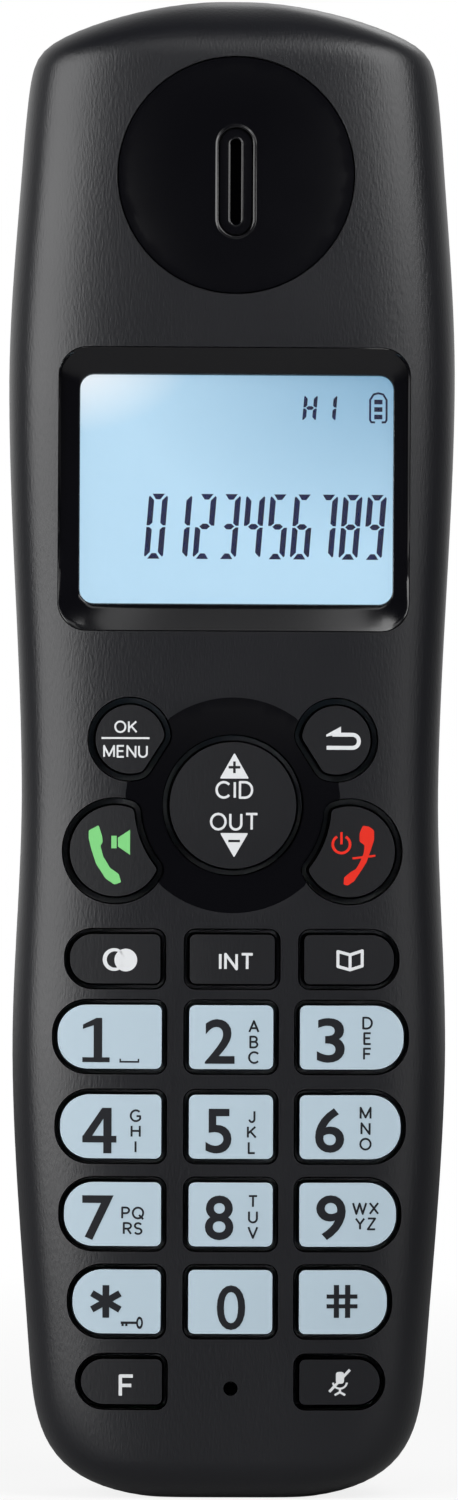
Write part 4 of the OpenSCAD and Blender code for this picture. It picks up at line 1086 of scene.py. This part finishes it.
END_HANDSET = [(1.65, 2.8), (2.3, 2.7), (2.85, 2.3), (2.85, 1.3), (2.5, 0.2), (2.05, -1.1), (1.45, -2.05),
               (0.75, -3.1), (0.05, -3.6), (-0.4, -3.5), (-0.35, -2.75), (0.35, -2.15), (0.9, -1.85),
               (1.25, -1.3), (1.75, -0.15), (1.85, 0.7), (1.3, 1.1), (1.3, 2.0)]


def end_signs():
    return [merged([rounded(END_HANDSET, 0.25), *line([(0.55, -0.7), (3.0, -0.4)], 0.22)]), power_sign()]


def two_discs():
    return [merged([disc(-0.12, -0.08, 1.21)], [disc(-0.02, -0.08, 0.88)]), merged([disc(1.13, -0.13, 1.21)])]


def book():
    left = [(-1.2, 0.87), (0.1, 0.52), (0.1, -1.08), (-1.2, -0.72), (-1.2, 0.87)]
    right = [(0.1, 0.52), (1.4, 0.95), (1.4, -0.66), (0.1, -1.08)]
    return merged(line(left, 0.32, True) + line(right, 0.32, True))


def crossed_microphone():
    capsule = rounded([(-0.42, -0.3), (0.5, -0.3), (0.5, 1.1), (-0.42, 1.1)], 0.7)
    cradle = line(arc(0.04, -0.1, 0.78, 185, 355, 14), 0.22)
    stem = rectangle(-0.08, 0.16, -1.35, -0.8)
    foot = line([(-0.55, -1.65), (0.04, -1.3), (0.63, -1.65)], 0.25)
    strike = line([(-1.15, -1.25), (1.15, 1.35)], 0.3)
    points, faces = merged([capsule, *cradle, stem, *foot, *strike])
    return points * (0.95, 0.9), faces


def numbers(digit, stretch, x, z, letters, letter_x, letter_z):
    """A digit and its letters."""
    points, faces = four() if digit == "4" else font_digit(digit, DIGIT_BOLD)
    shapes = [moved((points * (stretch, 1), faces), x, z)]
    for i, row in enumerate(letters):
        row_z = letter_z + LETTER_PITCH * ((len(letters) - 1) / 2 - i)
        shapes += lettering(row, LETTER_HEIGHT, letter_x, row_z, LETTER_STROKE, LETTER_SPACING)
    return shapes


LEGENDS = {key: (ink_dark, numbers(*row)) for key, row in NUMBERS.items()} | {
    "key_1": (ink_dark, [one(), space_bar()]),
    "key_0": (ink_dark, [moved(font_digit("0", ZERO_BOLD), 0, -0.6)]),
    "key_star": (ink_dark, [moved(asterisk(1.73, 0.72), -1.29, 0), moved(small_key(), 2.3, -2.25)]),
    "key_hash": (ink_dark, [moved(hash_sign(), -0.18, 0.08)]),
    "key_menu": (ink_white, ok_menu()),
    "key_back": (ink_white, [moved(return_arrow(), 0.77, 0.16)]),
    "key_navigate": (ink_white, navigation()),
    "key_talk": (ink_green, [merged([rounded(HANDSET, 0.25)]), loudspeaker()]),
    "key_end": (ink_red, [moved(sign, -0.25, 0) for sign in end_signs()]),
    "key_redial": (ink_white, two_discs()),
    "key_int": (ink_white, lettering("INT", 1.85, 0.45, -0.24, 0.28, 0.14)),
    "key_phonebook": (ink_white, [book()]),
    "key_f": (ink_white, lettering("F", 2.45, 0.55, -0.45, 0.36)),
    "key_mute": (ink_white, [moved(crossed_microphone(), 0, 0.1)]),
}

KEY_DEPTH, PALE_FILLET, BLACK_FILLET = 2.6, 0.15, 0.2
for node, plan in PLANS.items():
    form = key_form(node)
    floor = float(form.y_at(*plan.points.T).max()) + KEY_DEPTH
    pale = node in DIGITS
    ink, shapes = LEGENDS[node]
    layers = [layer(moved(shape, *own(node)), form) for shape in shapes]
    cap = sheet(node + "_cap", form, plan, spacing=0.9, fillet=PALE_FILLET if pale else BLACK_FILLET,
                floor=floor, materials=[key_pale if pale else key_black, ink], layers=layers)
    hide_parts(node)
    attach(cap, node + "_cap")

# ---- front shell ----

bezel_low, bezel_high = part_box("display_bezel")
BEZEL_HALF_W, BEZEL_HALF_H, BEZEL_R = (bezel_high.x - bezel_low.x) / 2 / MM, 15.1, 3
DISPLAY_Z = (bezel_low.z + bezel_high.z) / 2 / MM
ear_low, ear_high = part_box("ear_insert")
EAR_DROP, EAR_INSET, SLOT_DROP = 0.25, 0.12, 0.67
EAR_Z = (ear_low.z + ear_high.z) / 2 / MM - EAR_DROP
EAR_R = (ear_high.x - ear_low.x) / 2 / MM - EAR_INSET
SLOT_Z = EAR_Z - SLOT_DROP
MICROPHONE_Z, MICROPHONE_R = 11.9, 0.65
# Depth and thickness of the dark mesh sheet that paints the shade in the microphone hole
MESH_SINK, MESH_THICK = 1.0, 0.3
FIT, EDGE_FIT = 0.02, 0.04


def centred_box(half_w, z0, z1, r, spacing=0.5):
    """A rounded box on the middle line."""
    return round_box(-half_w, half_w, z0, z1, r, r, spacing)


def ring_paint(x, z):
    """Gloss on the ring round the navigation key."""
    return (np.hypot(x, z - NAV_Z) < RING_R).astype(int)


bezel_hole = centred_box(BEZEL_HALF_W + FIT, DISPLAY_Z - BEZEL_HALF_H - FIT, DISPLAY_Z + BEZEL_HALF_H + FIT,
                         BEZEL_R + FIT)
ear_hole = circle(0, EAR_Z, EAR_R + FIT, 0.5)
bezel_hole.fillet = ear_hole.fillet = EDGE_FIT
holes = [Loop(plan.grown(GAPS[key])) for key, plan in PLANS.items()]
holes += [bezel_hole, ear_hole, circle(0, MICROPHONE_Z, MICROPHONE_R, 0.2)]
shell = sheet("front_casing", front_half(ring_sink), None, holes, [arc(0, NAV_Z, RING_R, 0, 360, 240)],
              fillet=0.12, materials=[casing_plastic, gloss_black], paint=ring_paint)
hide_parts("front_shell")
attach(shell, "handset")

# A dark mesh sheet inside the microphone hole, pitch black so that it paints the hole's shade
mesh_y = float(face_at(MICROPHONE_Z)) + MESH_SINK
mesh = sheet("microphone_mesh_painted_shade", flat_form(-1, mesh_y), circle(0, MICROPHONE_Z, MICROPHONE_R - HAIR, 0.2),
             spacing=0.5, fillet=0.05, floor=mesh_y + MESH_THICK, materials=[dark_backing_painted_shade])
mesh.parent = shell

# ---- ear piece ----

EAR_SINK, EAR_HOLLOW, EAR_RIM, EAR_WALL = 0.1, 1.0, 0.3, 0.95
EAR_RIM_Y = float(face_at(EAR_Z)) + EAR_SINK
# Depths of the front and back of the black felt behind the sound slot, which paints the slot's shade
FELT_FRONT, FELT_BACK = 0.1, 0.5
EAR_BACK_Y = EAR_RIM_Y + EAR_HOLLOW + EAR_WALL
SLOT_W, SLOT_H, SLOT_FLOOR = 3.5, 11.4, 0.9
SOUND_W, SOUND_H = 1.05, 9.1
# Rise and reach of the raised lips round the two slots
SLOT_LIP, SOUND_LIP = (0.12, 0.23), (0.07, 0.13)


def lip(x, z, width, height, rise, reach):
    """A raised lip that runs round the outside of an upright slot at the ear."""
    d = np.hypot(x, np.maximum(0, np.abs(z - SLOT_Z) - (height - width) / 2)) - width / 2
    near_lip = np.clip(1 - np.abs(d - reach) / reach, 0, 1)
    return rise * near_lip * near_lip * (3 - 2 * near_lip)


def lip_lines(slot, reach):
    """Lines that let a sheet follow a lip."""
    grown = [slot.grown(reach * k) for k in (0.7, 1, 1.3, 1.65, 2)]
    return [np.vstack([g, g[:1]]) for g in grown]


def dish_y(x, z):
    hollow = bowl(x, z, EAR_Z, EAR_R - EAR_RIM, EAR_HOLLOW)
    return EAR_RIM_Y + hollow - lip(x, z, SLOT_W, SLOT_H, *SLOT_LIP)


def slot_floor_y(x, z):
    return EAR_BACK_Y - SLOT_FLOOR - lip(x, z, SOUND_W, SOUND_H, *SOUND_LIP)


ear_slot = stadium(0, SLOT_Z, SLOT_W, SLOT_H)
sound_slot = stadium(0, SLOT_Z, SOUND_W, SOUND_H, 0.2)
inner_slot = Loop(ear_slot.grown(-FIT))
rim_line = arc(0, EAR_Z, EAR_R - EAR_RIM, 0, 360, 240)
ear = sheet("ear_dish", Form(-1, dish_y), circle(0, EAR_Z, EAR_R, 0.4), [ear_slot],
            [rim_line, *lip_lines(ear_slot, SLOT_LIP[1])], spacing=0.9, fillet=0.1, floor=EAR_BACK_Y,
            materials=[gloss_black])
sound = sheet("ear_slot_floor", Form(-1, slot_floor_y), inner_slot, [sound_slot],
              lip_lines(sound_slot, SOUND_LIP[1]), spacing=0.6, fillet=0.06, floor=EAR_BACK_Y - HAIR,
              materials=[gloss_black])
# Black felt behind the sound slot, darkened to pitch black as painted shade seen through the slot
shade_felt = sheet("ear_felt_painted_shade", flat_form(-1, EAR_BACK_Y + FELT_FRONT), inner_slot, spacing=0.9, fillet=0.05,
             floor=EAR_BACK_Y + FELT_BACK, materials=[dark_backing_painted_shade])
sound.parent = shade_felt.parent = ear
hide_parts("ear_insert")
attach(ear, "handset")

# ---- display surround ----

WINDOW_HALF_W, WINDOW_HALF_H, WINDOW_R, WINDOW_X = 16.72, 12.2, 1.5, 0.28
WINDOW_SINK, LENS_LAP, BEZEL_EDGE = 1.5, 1, 0.1
WINDOW_Y = float(face_at(DISPLAY_Z)) + WINDOW_SINK
LENS_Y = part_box("display_lens")[0].y / MM
BEZEL_BACK = bezel_high.y / MM
# The sides drop to the window's depth within this part of their way
SIDE_REACH = 0.1
# Steps of the slope from the rim to the window: how far across, and how far it drops below the slope
SLOPE = ((0.008, 0.03), (0.02, 0), (0.1, 0), (0.2, 0), (0.4, 0), (0.6, 0), (0.8, 0), (0.93, 0), (0.965, 0.06),
         (0.985, 0.16), (1, 0.36))


def box_ring(half_w, half_h, r, middle=0, side=24, corner=8):
    """A rounded box about x = middle, with the same number of points whatever its size."""
    corners = []
    for k, (sx, sz) in enumerate(((1, 1), (-1, 1), (-1, -1), (1, -1))):
        corners.append(arc(sx * (half_w - r), DISPLAY_Z + sz * (half_h - r), r, 90 * k, 90 * k + 90, corner))
    parts = []
    for turn, following in zip(corners, corners[1:] + corners[:1]):
        along = np.linspace(0, 1, side + 1)[1:-1, None]
        parts += [turn, turn[-1] + (following[0] - turn[-1]) * along]
    return np.vstack(parts) + (middle, 0)


def bezel():
    rim_ring = box_ring(BEZEL_HALF_W, BEZEL_HALF_H, BEZEL_R)
    window = box_ring(WINDOW_HALF_W, WINDOW_HALF_H, WINDOW_R, WINDOW_X)
    lens_edge = box_ring(WINDOW_HALF_W + LENS_LAP, WINDOW_HALF_H + LENS_LAP, WINDOW_R)
    skin = front.y_at(*rim_ring.T)
    sideways = Loop(rim_ring).out[:, 0] ** 2
    rings = [raised(rim_ring, BEZEL_BACK), raised(rim_ring, skin + BEZEL_EDGE)]
    for t, drop in SLOPE:
        sunk = t + (min(1, t / SIDE_REACH) - t) * sideways
        rings.append(raised(rim_ring + (window - rim_ring) * t, skin + (WINDOW_Y - skin) * sunk + drop))
    rings += [raised(window, LENS_Y), raised(lens_edge, LENS_Y), raised(lens_edge, BEZEL_BACK)]
    return lofted("display_surround", rings, gloss_black, True)


surround = bezel()
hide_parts("display_bezel")
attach(surround, "handset")

# ---- display panel and its segments ----

SEGMENT_SLANT, SEGMENT_PITCH = 0.08, 2.6
# Width, height and bar width of the display's digits
BIG_DIGIT, SMALL_DIGIT = (2.04, 6.95, 0.6), (1.45, 2.9, 0.4)
SEGMENTS = {
    "0": "abcdef", "1": "bc", "2": "abdeg", "3": "abcdg", "4": "bcfg", "5": "acdfg", "6": "acdefg",
    "7": "abc", "8": "abcdefg", "9": "abcdfg", "H": "bcefg",
}


def segment_shapes(width, height, t):
    """The seven bars of a digit, mitred where they meet, from its lower left corner."""
    gap, mid = t * 0.15, height / 2
    near, far = t * 1.3, width - t * 1.3
    upright = [(0, mid + gap), (t * 0.5, mid + gap), (t, mid + t * 0.6), (t, height - t * 1.2),
               (t * 0.2, height - t * 0.35), (0, height - t * 0.6)]
    level = [(t * 0.6, height), (width - t * 0.6, height), (far, height - t), (near, height - t)]
    middle = [(t * 0.75, mid), (near, mid + t / 2), (far, mid + t / 2), (width - t * 0.75, mid),
              (far, mid - t / 2), (near, mid - t / 2)]
    upright, level = np.array(upright), np.array(level)
    right = upright * (-1, 1) + (width, 0)
    down, shift = (1, -1), (0, height)
    return {
        "a": level,
        "b": right,
        "c": right * down + shift,
        "d": level * down + shift,
        "e": upright * down + shift,
        "f": upright,
        "g": np.array(middle),
    }


def digits(text, x, z, width, height, t):
    """Segment digits from a lower left corner, one bar a shape."""
    shapes = segment_shapes(width, height, t)
    out = []
    for i, c in enumerate(text):
        for s in SEGMENTS.get(c, ""):
            p = shapes[s] + (x + i * SEGMENT_PITCH, z)
            p[:, 0] += (p[:, 1] - z) * SEGMENT_SLANT
            out.append(merged([p]))
    return out


def battery_sign(x, z):
    frame_line = [(-0.35, 0), (-0.75, 0.02), (-0.88, 0.25), (-0.88, 2.4), (-0.5, 3.0), (0, 3.12), (0.5, 3.0),
                  (0.88, 2.4), (0.88, 0.25), (0.75, 0.02), (0.35, 0)]
    bars = [merged([rectangle(-0.44, 0.44, h, h + 0.5)]) for h in (0.33, 1.13, 1.93)]
    return [moved(s, x, z) for s in (merged(line(frame_line, 0.22)), *bars)]


lcd_low, lcd_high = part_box("lcd_panel")
lcd_form = flat_form(-1, lcd_low.y / MM)
lcd_plan = round_box(lcd_low.x / MM, lcd_high.x / MM, lcd_low.z / MM, lcd_high.z / MM, 0.4, 0.4, 1)
shown = digits("0123456789", -9.57, DISPLAY_Z - 7.4, *BIG_DIGIT)
for sign, x in (("H", 7.3), ("1", 9.4)):
    shown += digits(sign, x, DISPLAY_Z + 7.35, *SMALL_DIGIT)
shown += battery_sign(15.45, DISPLAY_Z + 7.3)
panel = sheet("display_panel", lcd_form, lcd_plan, spacing=4, fillet=0.05, floor=lcd_high.y / MM,
              materials=[lcd_glow, segment_ink], layers=[layer(s, lcd_form) for s in shown])
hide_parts("lcd_panel")
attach(panel, "handset")

# ---- back shell and battery cover ----

COVER_W, COVER_Z0, COVER_Z1, COVER_R = 17, 17, 94, 7
COVER_GAP, COVER_WALL, COVER_LEDGE, LEDGE_DROP = 0.15, 1.5, 1.5, 0.1
NOTCH_R, NOTCH_DEPTH, NOTCH_RIM_R = 6, 1.2, 3.55
GRIP_Z, GRIP_PITCH, GRIP_COUNT, GRIP_W, GRIP_L, GRIP_DEPTH = 26, 2.6, 4, 0.9, 13, 0.35
# Half widths of the lines that run round a groove, and half the length of the line on its bottom
GRIP_ROUNDS, GRIP_LINE = (0.45, 0.38, 0.25), 6
DECK_SINK, DECK_WALL = 7, 1.5
DECK_Y = CREST - DECK_SINK
DECK_FLOOR = DECK_Y - DECK_WALL
CONTACT_X, CONTACT_Z, CONTACT_W, CONTACT_H = 8.5, 10.5, 3.6, 5.2
GRILLE_PITCH, GRILLE_W, GRILLE_L, GRILLE_TAPER, SPEAKER_Z = 2.6, 1.2, 12, 0.8, 138
BAY_HALF, BAY_Z0, BAY_Z1, BAY_FLOOR = 10.8, 24.5, 75, -1.7
WELL_X, WELL_Z, WELL_R, WELL_FLOOR = 14.5, 88.5, 2.0, 2.0
plain_back = back_half()


def notch_sink(x, z):
    """Depth of the round notch for the thumb at the cover's lower edge."""
    d2 = np.minimum(x**2 + (z - COVER_Z0) ** 2, NOTCH_R**2)
    ball = float(back_line(COVER_Z0)) + NOTCH_R - NOTCH_DEPTH - np.sqrt(NOTCH_R**2 - d2)
    return np.maximum(0, plain_back.y_at(x, z) - ball)


def cover_sink(x, z):
    """Depth of the notch and of the grip's grooves."""
    total = notch_sink(x, z)
    for i in range(GRIP_COUNT):
        d = np.hypot(np.maximum(0, np.abs(x) - (GRIP_L - GRIP_W) / 2), z - GRIP_Z - i * GRIP_PITCH)
        total = total + GRIP_DEPTH * np.sqrt(np.maximum(0, 1 - (d / (GRIP_W / 2)) ** 2))
    return total


cover_plan = centred_box(COVER_W, COVER_Z0, COVER_Z1, COVER_R)
opening = Loop(cover_plan.grown(COVER_GAP))
back_holes = [opening]
for i in range(-2, 3):
    x = i * GRILLE_PITCH
    back_holes.append(stadium(x, SPEAKER_Z, GRILLE_W, GRILLE_L - GRILLE_TAPER * abs(x)))
contact_z = (CONTACT_Z - CONTACT_H / 2, CONTACT_Z + CONTACT_H / 2)
for x in (-CONTACT_X, CONTACT_X):
    back_holes.append(round_box(x - CONTACT_W / 2, x + CONTACT_W / 2, *contact_z, 0.3, 0.3, 0.25))
notch_line = arc(0, COVER_Z0, NOTCH_RIM_R, 0, 360, 72)
shell = sheet("back_casing", back_half(notch_sink), None, back_holes, [notch_line], spacing=1.2,
              materials=[casing_plastic])
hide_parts("back_shell")
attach(shell, "handset")

ledge = sheet("cover_ledge", Form(1, lambda x, z: plain_back.y_at(x, z) - COVER_WALL - LEDGE_DROP),
              Loop(opening.grown(-HAIR)), [Loop(cover_plan.grown(-COVER_LEDGE))], spacing=1, fillet=0.1,
              floor=DECK_FLOOR, materials=[casing_plastic])
bay = centred_box(BAY_HALF, BAY_Z0, BAY_Z1, 0.6)
wells = [circle(x, WELL_Z, WELL_R, 0.25) for x in (-WELL_X, WELL_X)]
deck = sheet("battery_deck", flat_form(1, DECK_Y), Loop(cover_plan.grown(-COVER_LEDGE - HAIR)), [bay, *wells],
             spacing=1.5, floor=DECK_FLOOR, materials=[casing_plastic])


def tray(name, loop, floor, wall=1.0):
    """An open cup below a hole in the deck."""
    out, hole = loop.grown(wall), loop.points
    steps = ((out, floor - wall), (out, DECK_FLOOR), (hole, DECK_FLOOR), (hole, floor))
    return lofted(name, [raised(*step) for step in steps], casing_plastic, False)


trays = [tray("battery_bay", bay, BAY_FLOOR)]
trays += [tray("screw_well_" + side, well, WELL_FLOOR) for side, well in zip("lr", wells)]
for piece in (ledge, deck, *trays):
    piece.parent = shell

grip_lines = []
for i in range(GRIP_COUNT):
    z = GRIP_Z + i * GRIP_PITCH
    for k in GRIP_ROUNDS:
        loop = centred_box((GRIP_L - GRIP_W) / 2 + k, z - k, z + k, k, 0.3).points
        grip_lines.append(np.vstack([loop, loop[:1]]))
    grip_lines.append(np.stack([np.linspace(-GRIP_LINE, GRIP_LINE, 31), np.full(31, z)], -1))
cover = sheet("battery_door", back_half(cover_sink), cover_plan, (), [notch_line, *grip_lines], spacing=1.2,
              fillet=0.22, thick=COVER_WALL, materials=[casing_plastic])
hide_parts("battery_cover")
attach(cover, "battery_cover_panel")

# ---- camera and lamps ----

CAMERA_DISTANCE, FRAME_TALL = 1.1, 0.16076
CAMERA_AZIMUTH, CAMERA_ROLL = math.radians(-2), math.radians(-0.28)
CAMERA_AIM = Vector((-0.00024, -0.006, 0.0799))
# Name, azimuth, elevation, distance, size, radiance and height of the spot that it is aimed at
LAMPS = (
    ("left_box", -48, 12, 0.55, (0.58, 0.4), 4.8, 0.08),
    ("right_box", 37, 33, 0.28, (0.16, 0.2), 5, 0.08),
    ("fill_box", 6, 37, 0.9, (0.45, 0.16), 1.5, 0.08),
    ("rear_box", 160, 42, 0.8, (0.4, 0.3), 1.8, 0.08),
    ("low_box", 42, -5, 0.5, (0.2, 0.3), 1.2, 0.04),
)


def towards(azimuth, elevation=0.0):
    """The way from the object to a place round it; azimuth 0 is in front of its face."""
    flat = math.cos(elevation)
    return Vector((math.sin(azimuth) * flat, -math.cos(azimuth) * flat, math.sin(elevation)))


camera_data = bpy.data.cameras.new("camera")
camera_data.sensor_width = 36
camera_data.lens = camera_data.sensor_width * CAMERA_DISTANCE / FRAME_TALL
camera = placed("camera", camera_data)
camera.location = CAMERA_AIM + towards(CAMERA_AZIMUTH) * CAMERA_DISTANCE
camera.rotation_euler = (math.pi / 2, CAMERA_ROLL, CAMERA_AZIMUTH)
bpy.context.scene.camera = camera

for name, azimuth, elevation, distance, size, radiance, height in LAMPS:
    away = towards(math.radians(azimuth), math.radians(elevation)) * distance
    light = bpy.data.lights.new(name, "AREA")
    light.shape = "RECTANGLE"
    light.size, light.size_y = size
    light.energy = radiance * math.pi * size[0] * size[1]
    lamp = placed(name, light)
    lamp.location = Vector((0, 0, height)) + away
    lamp.rotation_euler = (-away).to_track_quat("-Z", "Y").to_euler()

# ---- floor and surroundings ----

FADE_REACH, FADE_FULL, NEAR_GLOW = 0.45, 0.7, 0.84
AMBIENT, REFLECTED_FRONT, REFLECTED_BACK, FRONT_END, BACK_END = 0.24, 0.03, 0.7, -0.35, 0.6
FLOOR_GLOW, FLOOR_NEAR, FLOOR_FAR = srgb(245, 245, 245), srgb(160, 160, 160), srgb(110, 110, 110)
FLOOR_REACH = 3


def studio_white():
    """White to the camera, grey to other rays, and it still takes the object's shadow."""
    m, tree, shader = started("studio_white")
    to_camera = shader_node(tree, "LightPath", output="Is Camera Ray")
    close = glow_ball(tree, (0, 0, 0), [FADE_REACH] * 3)
    bounce = colour_mix(tree, close, FLOOR_FAR, FLOOR_NEAR)
    feed(tree, shader, {
        "Base Color": colour_mix(tree, to_camera, bounce, FLOOR_GLOW),
        "Roughness": 0.9,
        "Specular IOR Level": 0,
    })
    fade = {"Value": close, "From Max": FADE_FULL, "To Min": 1, "To Max": NEAR_GLOW}
    share = {0: to_camera, 1: shader_node(tree, "MapRange", fade)}
    glow = shader_node(tree, "Emission", {"Strength": 1})
    factor = shader_node(tree, "Math", share, operation="MULTIPLY")
    blend = shader_node(tree, "MixShader", {0: factor, 1: shader.outputs[0], 2: glow})
    feed(tree, tree.nodes["Material Output"], {"Surface": blend})
    return m


floor_mesh = bpy.data.meshes.new("floor")
corners = [(x * FLOOR_REACH, y * FLOOR_REACH, 0) for x, y in ((-1, -1), (1, -1), (1, 1), (-1, 1))]
floor_mesh.from_pydata(corners, [], [(0, 1, 2, 3)])
floor_mesh.materials.append(studio_white())
floor_piece = placed("floor", floor_mesh)

world = bpy.data.worlds.new("studio")
bpy.context.scene.world = world
world.use_nodes = True
tree = world.node_tree
way = shader_node(tree, "SeparateXYZ", {0: shader_node(tree, "TexCoord", output="Generated")}, "Y")
seen = AMBIENT
ends = {"From Min": FRONT_END, "From Max": BACK_END, "To Min": REFLECTED_FRONT, "To Max": REFLECTED_BACK}
mirrored_light = shader_node(tree, "MapRange", {"Value": way} | ends)
for rays, light in (("Is Glossy Ray", mirrored_light), ("Is Camera Ray", 1), ("Is Transmission Ray", 1)):
    seen = shader_node(tree, "Mix", {0: shader_node(tree, "LightPath", output=rays), 2: seen, 3: light})
feed(tree, tree.nodes["Background"], {"Color": seen, "Strength": 1})
bpy.context.scene.view_settings.view_transform = "Standard"
